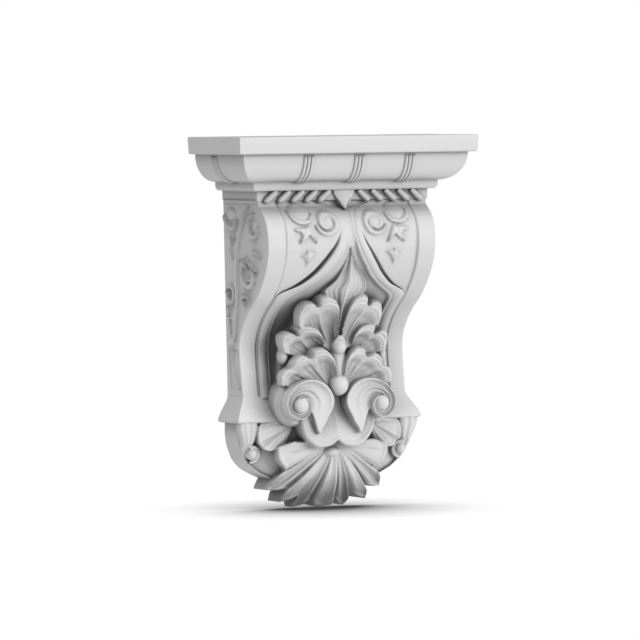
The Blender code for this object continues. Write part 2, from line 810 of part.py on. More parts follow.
def main():
    """Joins every form into the one cast corbel and saws its back flat."""
    clear_scene()
    shown = bpy.data.collections.new("corbel")
    helpers = bpy.data.collections.new("forms")
    bpy.context.scene.collection.children.link(shown)
    bpy.context.scene.collection.children.link(helpers)
    forms = [belt(), bowl(), spray_bed(), middle_leaf(), bib(), hanging_leaf(), drop_bud(), tongue()]
    forms += sprays() + buds() + rope() + ribs()
    forms += both_sides(scroll()) + both_sides(side_leaf())
    forms += both_sides(panel_carving()) + both_sides(side_carving())
    forms.append(cornice())
    corbel = solid(body(), "corbel")
    shown.objects.link(corbel)
    for number, form in enumerate(forms):
        union = corbel.modifiers.new(f"union_{number:02d}", "BOOLEAN")
        union.operation = "UNION"
        union.object = helper_object(form, f"form_{number:02d}", helpers)
    cut = corbel.modifiers.new("flat_back", "BOOLEAN")
    cut.operation = "DIFFERENCE"
    cut.object = helper_object(wall_block(), "wall_block", helpers)
    weld = corbel.modifiers.new("close_seams", "WELD")
    weld.merge_threshold = SEAM
    corbel.data.materials.append(plastic())


main()
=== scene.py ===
"""The looks of the cast polyurethane corbel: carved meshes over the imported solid, a finish and a studio.

The carving is drawn on a sheet in millimetres: x across from the middle, h down from the slab's top and
depth out from the wall. Sheet turns those into the frame's metres.
"""

from __future__ import annotations

import logging
from dataclasses import dataclass
from enum import Enum
from math import cos, pi, radians, sin
from typing import Callable, Sequence

import bmesh
import bpy
import numpy as np
from mathutils import Euler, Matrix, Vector

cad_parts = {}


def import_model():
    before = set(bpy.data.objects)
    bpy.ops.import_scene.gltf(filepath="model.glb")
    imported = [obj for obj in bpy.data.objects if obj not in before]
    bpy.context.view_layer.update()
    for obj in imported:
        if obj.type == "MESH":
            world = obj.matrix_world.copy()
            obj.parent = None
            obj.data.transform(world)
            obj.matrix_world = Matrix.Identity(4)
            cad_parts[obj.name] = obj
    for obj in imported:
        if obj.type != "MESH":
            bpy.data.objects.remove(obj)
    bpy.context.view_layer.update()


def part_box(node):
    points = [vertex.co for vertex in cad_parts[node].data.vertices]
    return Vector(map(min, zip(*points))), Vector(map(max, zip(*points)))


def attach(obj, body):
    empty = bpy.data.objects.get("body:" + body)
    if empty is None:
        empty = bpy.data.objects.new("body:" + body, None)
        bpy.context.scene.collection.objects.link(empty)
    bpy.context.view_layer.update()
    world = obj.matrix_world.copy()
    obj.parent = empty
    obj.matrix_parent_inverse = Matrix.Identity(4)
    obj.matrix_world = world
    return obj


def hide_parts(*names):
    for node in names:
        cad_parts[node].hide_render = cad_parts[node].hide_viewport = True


LOG = logging.getLogger("corbel")
NODE = "corbel"
BODY = "root"
SLOT = "primed_polyurethane"

Array = np.ndarray
Values = float | Sequence[float] | Array
Rows = Sequence[Sequence[float]]
Field = Callable[[Values, Values], Array]
Form = bmesh.types.BMesh


class Meeting(Enum):
    """How sharply faces may meet, in degrees, before the edge between them stays sharp."""

    MOULDED = 30.0
    BELTED = 35.0
    ROUNDED = 50.0
    RIBBED = 60.0
    CARVED = 62.0
    CAST = 180.0


def smooth(places: Sequence[float], values: Sequence[float] | Rows, at: Values) -> Array:
    """Reads a smooth line through given values, with no overshoot between them.

    Args:
        places: rising positions of the given values.
        values: one number, or one row of numbers, for each place.
        at: the positions to read, of any shape.

    Returns:
        One value, or one row of values, for each position.
    """
    xs = np.asarray(places, float)
    ys = np.asarray(values, float)
    flat = ys.ndim == 1
    ys = ys.reshape(len(xs), -1)
    steps = np.diff(ys, axis=0) / np.diff(xs)[:, None]
    product = steps[:-1] * steps[1:]
    total = steps[:-1] + steps[1:]
    inner = np.where(product > 0, 2 * product / np.where(total == 0, 1, total), 0)
    slopes = np.vstack([steps[:1], inner, steps[-1:]])
    at = np.clip(np.asarray(at, float), xs[0], xs[-1])
    i = np.clip(np.searchsorted(xs, at, side="right") - 1, 0, len(xs) - 2)
    span = (xs[i + 1] - xs[i])[..., None]
    t = (at - xs[i])[..., None] / span
    rise = (1 + 2 * t) * (1 - t) ** 2 * ys[i] + t * t * (3 - 2 * t) * ys[i + 1]
    result = rise + span * (t * (1 - t) ** 2 * slopes[i] - t * t * (1 - t) * slopes[i + 1])
    return result[..., 0] if flat else result


def follow(rows: Rows, at: Values) -> Array:
    """Reads a smooth line through rows of a place and a value."""
    return smooth(*zip(*rows), at)


def through(points: Rows, count: int) -> Array:
    """Evenly numbered points on a smooth path through the given ones.

    Args:
        points: the path's own points, of any dimension.
        count: how many points to return.

    Returns:
        An array of count rows.
    """
    last = len(points) - 1
    return smooth(range(last + 1), points, np.linspace(0, last, count))


def ease(value: Values) -> Array:
    """A soft step from 0 at 0 to 1 at 1."""
    share = np.clip(value, 0, 1)
    return share * share * (3 - 2 * share)


def bump(value: Values, middle: float, half: float) -> Array:
    """A soft hump, 1 high at the middle and gone at half its width to both sides."""
    share = np.clip(1 - np.abs(np.asarray(value) - middle) / half, 0, 1)
    return share * share * (3 - 2 * share)


@dataclass(frozen=True)
class Sheet:
    """Places points of the carving in the frame.

    Attributes:
        top: height of the slab's top in the frame, in metres.
        unit: metres for one sheet millimetre.
    """

    top: float
    unit: float = 0.001

    def place(self, x: Values, h: Values, depth: Values) -> Array:
        """Turns sheet places into frame points.

        Args:
            x: millimetres from the middle.
            h: millimetres below the slab's top.
            depth: millimetres out from the wall.

        Returns:
            An array whose last axis holds x, y and z in metres.
        """
        x, h, depth = np.broadcast_arrays(*(np.asarray(value, float) for value in (x, h, depth)))
        return np.stack([x * self.unit, -depth * self.unit, self.top - h * self.unit], axis=-1)


def surface(points: Array) -> Form:
    """An open grid through an array of points.

    Args:
        points: rows by columns by 3, in metres.

    Returns:
        The grid, with points that fall together merged.
    """
    rows, columns = points.shape[:2]
    bm = bmesh.new()
    bmesh.ops.create_grid(bm, x_segments=columns - 1, y_segments=rows - 1, size=0.5)
    for vert in bm.verts:
        i = round((vert.co.x + 0.5) * (columns - 1))
        j = round((vert.co.y + 0.5) * (rows - 1))
        vert.co = Vector(points[j, i])
    bmesh.ops.remove_doubles(bm, verts=bm.verts, dist=1e-6)
    return bm


def open_edges(bm: Form) -> list[bmesh.types.BMEdge]:
    """The edges on a mesh's border."""
    return [edge for edge in bm.edges if edge.is_boundary]


def patch(points: Array, back: float, centre: Array | None = None, tuck: float = 0.0) -> Form:
    """A carved face whose border runs back to a flat back.

    Args:
        points: rows by columns by 3, in metres.
        back: how far out from the wall the flat back lies, in metres.
        centre: the frame point that the back draws in towards.
        tuck: how far it draws in, as a share of the way.

    Returns:
        The closed mesh.
    """
    bm = surface(points)
    walls = bmesh.ops.extrude_edge_only(bm, edges=open_edges(bm))["geom"]
    for item in walls:
        if isinstance(item, bmesh.types.BMVert):
            if centre is not None:
                item.co = item.co.lerp(Vector(centre), tuck)
            item.co.y = -back
    bmesh.ops.remove_doubles(bm, verts=bm.verts, dist=1e-6)
    bmesh.ops.holes_fill(bm, edges=open_edges(bm), sides=0)
    return bm


def loft(rings: Array) -> Form:
    """A closed body through rings, with a face at each end.

    Args:
        rings: rings by points by 3, in metres.

    Returns:
        The closed mesh.
    """
    closed = np.concatenate([rings, rings[:, :1]], axis=1)
    bm = surface(closed)
    bmesh.ops.holes_fill(bm, edges=open_edges(bm), sides=0)
    return bm


def tube(path: Array, halves: Array, flatness: float = 1.0, around: int = 20) -> Form:
    """A rounded rod along a path in the frame.

    Args:
        path: points by 3, in metres.
        halves: half the rod's width at each point, in metres.
        flatness: the rod's depth as a share of its width.
        around: how many points its section has.

    Returns:
        The closed mesh.
    """
    ways = np.gradient(path, axis=0)
    ways /= np.linalg.norm(ways, axis=1, keepdims=True)
    out = np.array([0.0, -1.0, 0.0])
    sides = np.cross(ways, out)
    sides /= np.maximum(np.linalg.norm(sides, axis=1, keepdims=True), 1e-9)
    ups = np.cross(sides, ways)
    turns = np.linspace(0, 2 * pi, around, endpoint=False)
    rings = (
        path[:, None]
        + halves[:, None, None] * np.cos(turns)[None, :, None] * sides[:, None]
        + flatness * halves[:, None, None] * np.sin(turns)[None, :, None] * ups[:, None]
    )
    return loft(rings)


def ball(centre: Array, radii: Sequence[float], around: int = 40) -> Form:
    """A rounded knob.

    Args:
        centre: its middle in the frame, in metres.
        radii: half its width, depth and height, in metres.
        around: how many sides it has.

    Returns:
        The closed mesh.
    """
    bm = bmesh.new()
    bmesh.ops.create_uvsphere(bm, u_segments=around, v_segments=around // 2, radius=1.0)
    bmesh.ops.scale(bm, verts=bm.verts, vec=Vector(radii))
    bmesh.ops.translate(bm, verts=bm.verts, vec=Vector(centre))
    return bm


def mirrored(bm: Form) -> Form:
    """Mirrors a form in the middle plane.

    Args:
        bm: the form, which is kept.

    Returns:
        The same form on the other side.
    """
    other = bm.copy()
    bmesh.ops.scale(other, verts=other.verts, vec=Vector((-1, 1, 1)))
    return other


def both_sides(forms: list[Form]) -> list[Form]:
    """Each form and its mirror image."""
    return [form for one in forms for form in (mirrored(one), one)]


def joined(forms: list[Form], name: str) -> bpy.types.Object:
    """One mesh object from closed forms, each with its faces turned outwards.

    Args:
        forms: the closed meshes, which are freed.
        name: the object's name.

    Returns:
        The object, linked to the scene.
    """
    whole = bmesh.new()
    for form in forms:
        bmesh.ops.recalc_face_normals(form, faces=form.faces)
        if form.calc_volume(signed=True) < 0:
            bmesh.ops.reverse_faces(form, faces=form.faces)
        step = bpy.data.meshes.new("step")
        form.to_mesh(step)
        form.free()
        whole.from_mesh(step)
        bpy.data.meshes.remove(step)
    mesh = bpy.data.meshes.new(name)
    whole.to_mesh(mesh)
    whole.free()
    obj = bpy.data.objects.new(name, mesh)
    bpy.context.scene.collection.objects.link(obj)
    return obj


def fused(forms: list[Form], name: str, voxel: float, rounds: int, kept: float) -> bpy.types.Object:
    """Casts overlapping forms into one skin with softened meetings.

    Args:
        forms: the closed meshes.
        name: the object's name.
        voxel: the skin's grain, in metres.
        rounds: how many rounds of softening it gets.
        kept: the share of its faces that is kept, with the fewest where it is flattest.

    Returns:
        The object, with a plain mesh.
    """
    obj = joined(forms, name)
    remesh = obj.modifiers.new("one_skin", "REMESH")
    remesh.mode = "VOXEL"
    remesh.voxel_size = voxel
    soften = obj.modifiers.new("soften", "SMOOTH")
    soften.factor = 0.5
    soften.iterations = rounds
    thin = obj.modifiers.new("fewer_faces", "DECIMATE")
    thin.ratio = kept
    graph = bpy.context.evaluated_depsgraph_get()
    made = bpy.data.meshes.new_from_object(obj.evaluated_get(graph))
    obj.modifiers.clear()
    old = obj.data
    obj.data = made
    bpy.data.meshes.remove(old)
    made.name = name
    return obj


def soft_shading(obj: bpy.types.Object, meeting: Meeting) -> None:
    """Shades the faces smooth and keeps the sharper edges.

    Args:
        obj: the finished mesh.
        meeting: how sharply its faces may meet.
    """
    obj.data.shade_smooth()
    if meeting is not Meeting.CAST:
        obj.data.set_sharp_from_angle(angle=radians(meeting.value))


def soft_mitres(obj: bpy.types.Object, width: float, segments: int) -> None:
    """Rounds the edges of a moulding where its sides meet its front.

    Args:
        obj: the moulding.
        width: the rounding's width, in metres.
        segments: how many faces it has.
    """
    bevel = obj.modifiers.new("soft_mitres", "BEVEL")
    bevel.affect = "EDGES"
    bevel.width = width
    bevel.segments = segments
    bevel.profile = 0.5
    bevel.material = -1
    bevel.limit_method = "ANGLE"
    bevel.angle_limit = radians(40)


@dataclass(frozen=True)
class PrimedSkin:
    """The white primer on the casting, with the faint grain of the mould, and painted shade that darkens
    its colour in hollows and under overhangs.

    Attributes:
        shade: the primer's colour.
        shade_dim: its colour where it lies thinner.
        roughness: middle roughness.
        roughness_swing: how far the roughness wanders.
        cloud_scale: how many soft clouds the primer has in a metre.
        grain_scale: how many grains it has in a metre.
        grain_depth: the grain's height, in metres.
        hollow_reach: how far round a place the carving is looked for when shade is painted into the
            colour, in metres.
        hollow_least: the share of open air at which the painted shade in a hollow is darkest.
        hollow_shade: how bright the colour stays under the darkest painted shade, as a share.
        hollow_samples: how many ways each place looks for open air for its painted shade.
        gloss: how much the primer mirrors, as the shader counts it.
        grain_strength: how much of the grain's height shows.
    """

    shade: tuple[float, float, float] = (0.80, 0.80, 0.80)
    shade_dim: tuple[float, float, float] = (0.785, 0.785, 0.785)
    roughness: float = 0.56
    roughness_swing: float = 0.05
    cloud_scale: float = 26.0
    grain_scale: float = 1500.0
    grain_depth: float = 0.00004
    hollow_reach: float = 0.036
    hollow_least: float = 0.28
    hollow_shade: float = 0.26
    hollow_samples: int = 12
    gloss: float = 0.35
    grain_strength: float = 0.5

    def effect(self) -> bpy.types.NodeTree:
        """Draws what the primer looks like, with shade painted into its hollows.

        Returns:
            The node group that gives its colour darkened by painted shade, its roughness and the height of
            its grain.
        """
        group = bpy.data.node_groups.new("primer", "ShaderNodeTree")
        group.interface.new_socket("Vector", in_out="INPUT", socket_type="NodeSocketVector")
        for name, kind in (("Colour_With_Painted_Shade", "Color"), ("Roughness", "Float"), ("Height", "Float")):
            group.interface.new_socket(name, in_out="OUTPUT", socket_type=f"NodeSocket{kind}")
        nodes, links = group.nodes, group.links
        source = nodes.new("NodeGroupInput")
        result = nodes.new("NodeGroupOutput")
        # Painted shade: ambient occlusion darkens the primer's colour in hollows, creases and under
        # overhangs.
        hollow = nodes.new("ShaderNodeAmbientOcclusion")
        hollow.samples = self.hollow_samples
        hollow.inputs["Distance"].default_value = self.hollow_reach
        depth = nodes.new("ShaderNodeMapRange")
        depth.inputs["From Min"].default_value = self.hollow_least
        depth.inputs["To Min"].default_value = self.hollow_shade
        primer_with_painted_shade = nodes.new("ShaderNodeMix")
        primer_with_painted_shade.data_type = "RGBA"
        primer_with_painted_shade.blend_type = "MULTIPLY"
        primer_with_painted_shade.inputs["Factor"].default_value = 1.0
        clouds = nodes.new("ShaderNodeTexNoise")
        clouds.inputs["Scale"].default_value = self.cloud_scale
        clouds.inputs["Detail"].default_value = 3.0
        grain = nodes.new("ShaderNodeTexNoise")
        grain.inputs["Scale"].default_value = self.grain_scale
        grain.inputs["Detail"].default_value = 2.0
        mix = nodes.new("ShaderNodeMix")
        mix.data_type = "RGBA"
        mix.inputs["A"].default_value = (*self.shade_dim, 1)
        mix.inputs["B"].default_value = (*self.shade, 1)
        swing = nodes.new("ShaderNodeMapRange")
        swing.inputs["To Min"].default_value = self.roughness - self.roughness_swing
        swing.inputs["To Max"].default_value = self.roughness + self.roughness_swing
        links.new(source.outputs["Vector"], clouds.inputs["Vector"])
        links.new(source.outputs["Vector"], grain.inputs["Vector"])
        links.new(clouds.outputs["Fac"], mix.inputs["Factor"])
        links.new(clouds.outputs["Fac"], swing.inputs["Value"])
        links.new(hollow.outputs["AO"], depth.inputs["Value"])
        links.new(mix.outputs["Result"], primer_with_painted_shade.inputs["A"])
        links.new(depth.outputs["Result"], primer_with_painted_shade.inputs["B"])
        links.new(primer_with_painted_shade.outputs["Result"], result.inputs["Colour_With_Painted_Shade"])
        links.new(swing.outputs["Result"], result.inputs["Roughness"])
        links.new(grain.outputs["Fac"], result.inputs["Height"])
        return group

    def material(self) -> bpy.types.Material:
        """Puts the primer, with its painted shade, on a shader.

        Returns:
            The finished material.
        """
        material = bpy.data.materials.new(SLOT)
        material.use_nodes = True
        nodes, links = material.node_tree.nodes, material.node_tree.links
        shader = nodes["Principled BSDF"]
        shader.inputs["Specular IOR Level"].default_value = self.gloss
        shader.inputs["Metallic"].default_value = 0.0
        place = nodes.new("ShaderNodeTexCoord")
        primer = nodes.new("ShaderNodeGroup")
        primer.node_tree = self.effect()
        grain = nodes.new("ShaderNodeBump")
        grain.inputs["Strength"].default_value = self.grain_strength
        grain.inputs["Distance"].default_value = self.grain_depth
        links.new(place.outputs["Object"], primer.inputs["Vector"])
        # The base colour carries the painted shade from the hollows.
        links.new(primer.outputs["Colour_With_Painted_Shade"], shader.inputs["Base Color"])
        links.new(primer.outputs["Roughness"], shader.inputs["Roughness"])
        links.new(primer.outputs["Height"], grain.inputs["Height"])
        links.new(grain.outputs["Normal"], shader.inputs["Normal"])
        return material


@dataclass
class Piece:
    """What every carved piece shares: the sheet it is drawn on and the skin it gets.

    Attributes:
        sheet: places the drawing in the frame.
        skin: the material.
    """

    sheet: Sheet
    skin: bpy.types.Material

    def dress(self, obj: bpy.types.Object, meeting: Meeting = Meeting.CAST) -> bpy.types.Object:
        """Gives a finished mesh its shading, material, body and slot.

        Args:
            obj: the finished mesh.
            meeting: how sharply its faces may meet.

        Returns:
            The same object.
        """
        soft_shading(obj, meeting)
        obj.data.materials.clear()
        obj.data.materials.append(self.skin)
        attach(obj, BODY)
        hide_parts(NODE)
        obj.data.calc_loop_triangles()
        LOG.info("%s: %d triangles", obj.name, len(obj.data.loop_triangles))
        return obj

    def wrapped(self, steps: Sequence[tuple[float, float, float]]) -> Form:
        """Runs a moulding round the two sides and the front.

        Args:
            steps: half its width, h and its depth at each step down.

        Returns:
            The moulding as one solid with mitred corners.
        """
        rings = []
        for half, h, depth in steps:
            ring = [(-half, h, 0.0), (-half, h, depth), (half, h, depth), (half, h, 0.0)]
            rings.append(self.sheet.place(*np.array(ring).T))
        return loft(np.array(rings))


@dataclass
class CastPiece(Piece):
    """A carved piece whose overlapping forms become one skin.

    Attributes:
        voxel: the skin's grain, in metres.
        kept: the share of the skin's faces that is kept.
        rounds: how many rounds of softening it gets.
    """

    voxel: float = 0.00055
    kept: float = 0.66
    rounds: int = 2

    NAME = ""

    def forms(self) -> list[Form]:
        """The forms that the piece is cast from."""
        raise NotImplementedError

    def build(self) -> bpy.types.Object:
        """Makes the piece as one skin."""
        return self.dress(fused(self.forms(), self.NAME, self.voxel, self.rounds, self.kept))


@dataclass(frozen=True)
class Stroke:
    """A raised or sunk line of carving.

    Attributes:
        points: its path, in the sheet's two directions.
        most: half its width in the middle, in millimetres.
        least: half its width at the ends.
        lift: how far it stands up, or below zero how deep it is cut.
    """

    points: Array
    most: float
    least: float
    lift: float

    def at(self, a: Array, b: Array) -> Array:
        """Measures the line.

        Args:
            a: the places' first direction.
            b: their second direction.

        Returns:
            The line's lift at each place.
        """
        count = len(self.points) - 1
        best = np.zeros(np.shape(a))
        for k, (start, end) in enumerate(zip(self.points[:-1], self.points[1:])):
            way = end - start
            length = max(float(way @ way), 1e-9)
            along = np.clip(((a - start[0]) * way[0] + (b - start[1]) * way[1]) / length, 0, 1)
            away = np.hypot(a - start[0] - along * way[0], b - start[1] - along * way[1])
            swell = np.clip(np.sin(pi * (k + along) / count), 0, 1) ** 0.7
            half = self.least + (self.most - self.least) * swell
            best = np.maximum(best, np.clip(1 - (away / half) ** 2, 0, 1) ** 0.6)
        return best * self.lift


@dataclass(frozen=True)
class Blade:
    """A flat raised or sunk shape with soft edges.

    Attributes:
        corners: its outline, in the sheet's two directions.
        lift: how far its face stands up, or below zero how deep it lies.
        edge: how wide its sloping edge is, in millimetres.
    """

    corners: Array
    lift: float
    edge: float

    def at(self, a: Array, b: Array) -> Array:
        """Measures the shape.

        Args:
            a: the places' first direction.
            b: their second direction.

        Returns:
            The shape's lift at each place.
        """
        inside = np.zeros(np.shape(a), bool)
        nearest = np.full(np.shape(a), 1e9)
        for start, end in zip(self.corners, np.roll(self.corners, -1, axis=0)):
            way = end - start
            length = max(float(way @ way), 1e-9)
            along = np.clip(((a - start[0]) * way[0] + (b - start[1]) * way[1]) / length, 0, 1)
            away = np.hypot(a - start[0] - along * way[0], b - start[1] - along * way[1])
            nearest = np.minimum(nearest, away)
            crosses = (start[1] > b) != (end[1] > b)
            slope = way[0] * (b - start[1]) / (way[1] if way[1] else 1e-9) + start[0]
            inside ^= crosses & (a < slope)
        return np.where(inside, self.lift * ease(nearest / self.edge), 0)


@dataclass(frozen=True)
class Dome:
    """A rounded boss.

    Attributes:
        centre: its middle, in the sheet's two directions.
        radii: half its width and height, in millimetres.
        lift: how far its middle stands up.
    """

    centre: tuple[float, float]
    radii: tuple[float, float]
    lift: float

    def at(self, a: Array, b: Array) -> Array:
        """The boss's lift at each place."""
        away = ((a - self.centre[0]) / self.radii[0]) ** 2 + ((b - self.centre[1]) / self.radii[1]) ** 2
        return self.lift * np.sqrt(np.clip(1 - away, 0, 1))


Carving = Stroke | Blade | Dome


def strokes(rows: Sequence[tuple], lift: float) -> list[Stroke]:
    """Strokes from rows of a path.

    Args:
        rows: each one's path, number of points, half-width in the middle and at the ends, and share of
            the lift.
        lift: how far a whole share stands up, in millimetres.

    Returns:
        The strokes.
    """
    return [Stroke(through(path, count), *widths, lift * share) for path, count, *widths, share in rows]


def relief(parts: Sequence[Carving], a: Array, b: Array) -> Array:
    """Carves parts into a flat field.

    Args:
        parts: the raised and sunk parts.
        a: the places' first direction.
        b: their second direction.

    Returns:
        The raised parts' highest lift plus the sunk parts' deepest cut at each place.
    """
    high = np.zeros(np.shape(a))
    low = np.zeros(np.shape(a))
    for part in parts:
        lift = part.at(a, b)
        high = np.maximum(high, lift)
        low = np.minimum(low, lift)
    return high + low


def spiral(centre: Sequence[float], start: float, turns: float, outer: float, inner: float) -> Array:
    """Points that wind in towards a centre.

    Args:
        centre: the sheet place in the middle.
        start: where the line starts round it, in degrees.
        turns: how often it goes round, clockwise on the sheet where above zero.
        outer: the radius at its start, in millimetres.
        inner: the radius at its end.

    Returns:
        The points, one row each.
    """
    share = np.linspace(0, 1, 60)
    angle = radians(start) + 2 * pi * turns * share
    radius = outer + (inner - outer) * share
    return np.stack([centre[0] + radius * np.cos(angle), centre[1] + radius * np.sin(angle)], axis=1)


def whole_rim(half: Rows, count: int) -> Array:
    """A rim through the left half's points and their mirror images, which share the last point."""
    return through([*half, *((-x, *rest) for x, *rest in reversed(half[:-1]))], count)


def towards(root: Sequence[float], rim: Array, share: Array) -> tuple[Array, Array]:
    """Sheet places on the way from a root to every point of a rim.

    Args:
        root: where the ways start.
        rim: the rim's points, with x and h first.
        share: how far along the way, in rows.

    Returns:
        The x and the h of each place.
    """
    return root[0] + (rim[:, 0] - root[0])[None] * share, root[1] + (rim[:, 1] - root[1])[None] * share


@dataclass(frozen=True)
class ShellLeaf:
    """A shell leaf: dished and veined inside a scalloped lip, and rolled over outside it.

    Attributes:
        root: the sheet place where its veins meet.
        rim: the lip's x, h, crown (1) or notch (0), and how far the roll reaches outside it.
        ground: depth of the surface that it grows from, in millimetres.
        lift: how far its lip stands off that surface.
        dish: how deep it is hollowed.
        veins: how many fine grooves run to the lip.
        back: depth of its flat back, in millimetres.
        fall: how far the roll drops back behind the lip.
        lip: how high the thin lip stands.
        vein_depth: how deep a vein is cut.
        crease_depth: how deep the roll creases behind a notch.
        line_depth: how deep the line outside the lip is cut.
        swell: how far the roll swells behind a crown.
        tuck: how far its back draws in towards the root, as a share.
    """

    root: Sequence[float]
    rim: Rows
    ground: Field
    lift: float
    dish: float
    veins: int
    back: float
    fall: float
    lip: float = 1.5
    vein_depth: float = 1.0
    crease_depth: float = 4.6
    line_depth: float = 1.4
    swell: float = 1.2
    tuck: float = 0.5

    def build(self, sheet: Sheet) -> Form:
        """Makes the leaf.

        Args:
            sheet: places the leaf in the frame.

        Returns:
            The closed mesh.
        """
        across = np.linspace(0, 1, 181)
        line = through(self.rim, len(across))
        edge_x, edge_h, crown, reach = line.T
        s = np.linspace(0, 1, 46)[:, None]
        px, ph = towards(self.root, line, s)
        rise = self.lift * ease((s - 0.25) / 0.72) * (0.72 + 0.28 * crown[None])
        dished = ease(s / 0.62) * (1 - ease((s - 0.74) / 0.20))
        hollow = self.dish * dished * (0.45 + 0.55 * crown[None])
        lip = self.lip * bump(s, 0.985, 0.06)
        groove = np.abs(np.sin(pi * self.veins * across))[None] ** 0.7
        ends = ease(np.minimum(across, 1 - across)[None] / 0.12)
        cut = self.vein_depth * (1 - groove) * bump(s, 0.64, 0.32) * ends
        inner_depth = self.ground(px, ph) + rise - hollow + lip - cut
        way_x, way_h = edge_x - self.root[0], edge_h - self.root[1]
        length = np.hypot(way_x, way_h)
        v = np.linspace(0, 1, 22)[1:, None]
        qx = edge_x[None] + (way_x / length * reach)[None] * v
        qh = edge_h[None] + (way_h / length * reach)[None] * v
        notch = (1 - crown[None]) ** 1.6
        crease = self.crease_depth * notch * ease(v / 0.5) * np.clip(reach[None] / 6, 0, 1)
        line_cut = self.line_depth * bump(v, 0.15, 0.15)
        roll = self.fall * (1 - np.sqrt(np.clip(1 - v * v, 0, 1)))
        swell = self.swell * np.sin(pi * np.clip(v * 1.1, 0, 1)) * crown[None]
        edge_depth = (self.ground(edge_x, edge_h) + (rise - hollow + lip)[-1])[None]
        outer_depth = edge_depth - line_cut - roll - crease + swell
        x, h = np.vstack([px, qx]), np.vstack([ph, qh])
        points = sheet.place(x, h, np.vstack([inner_depth, outer_depth]))
        return patch(points, self.back * sheet.unit, sheet.place(*self.root, self.back), self.tuck)


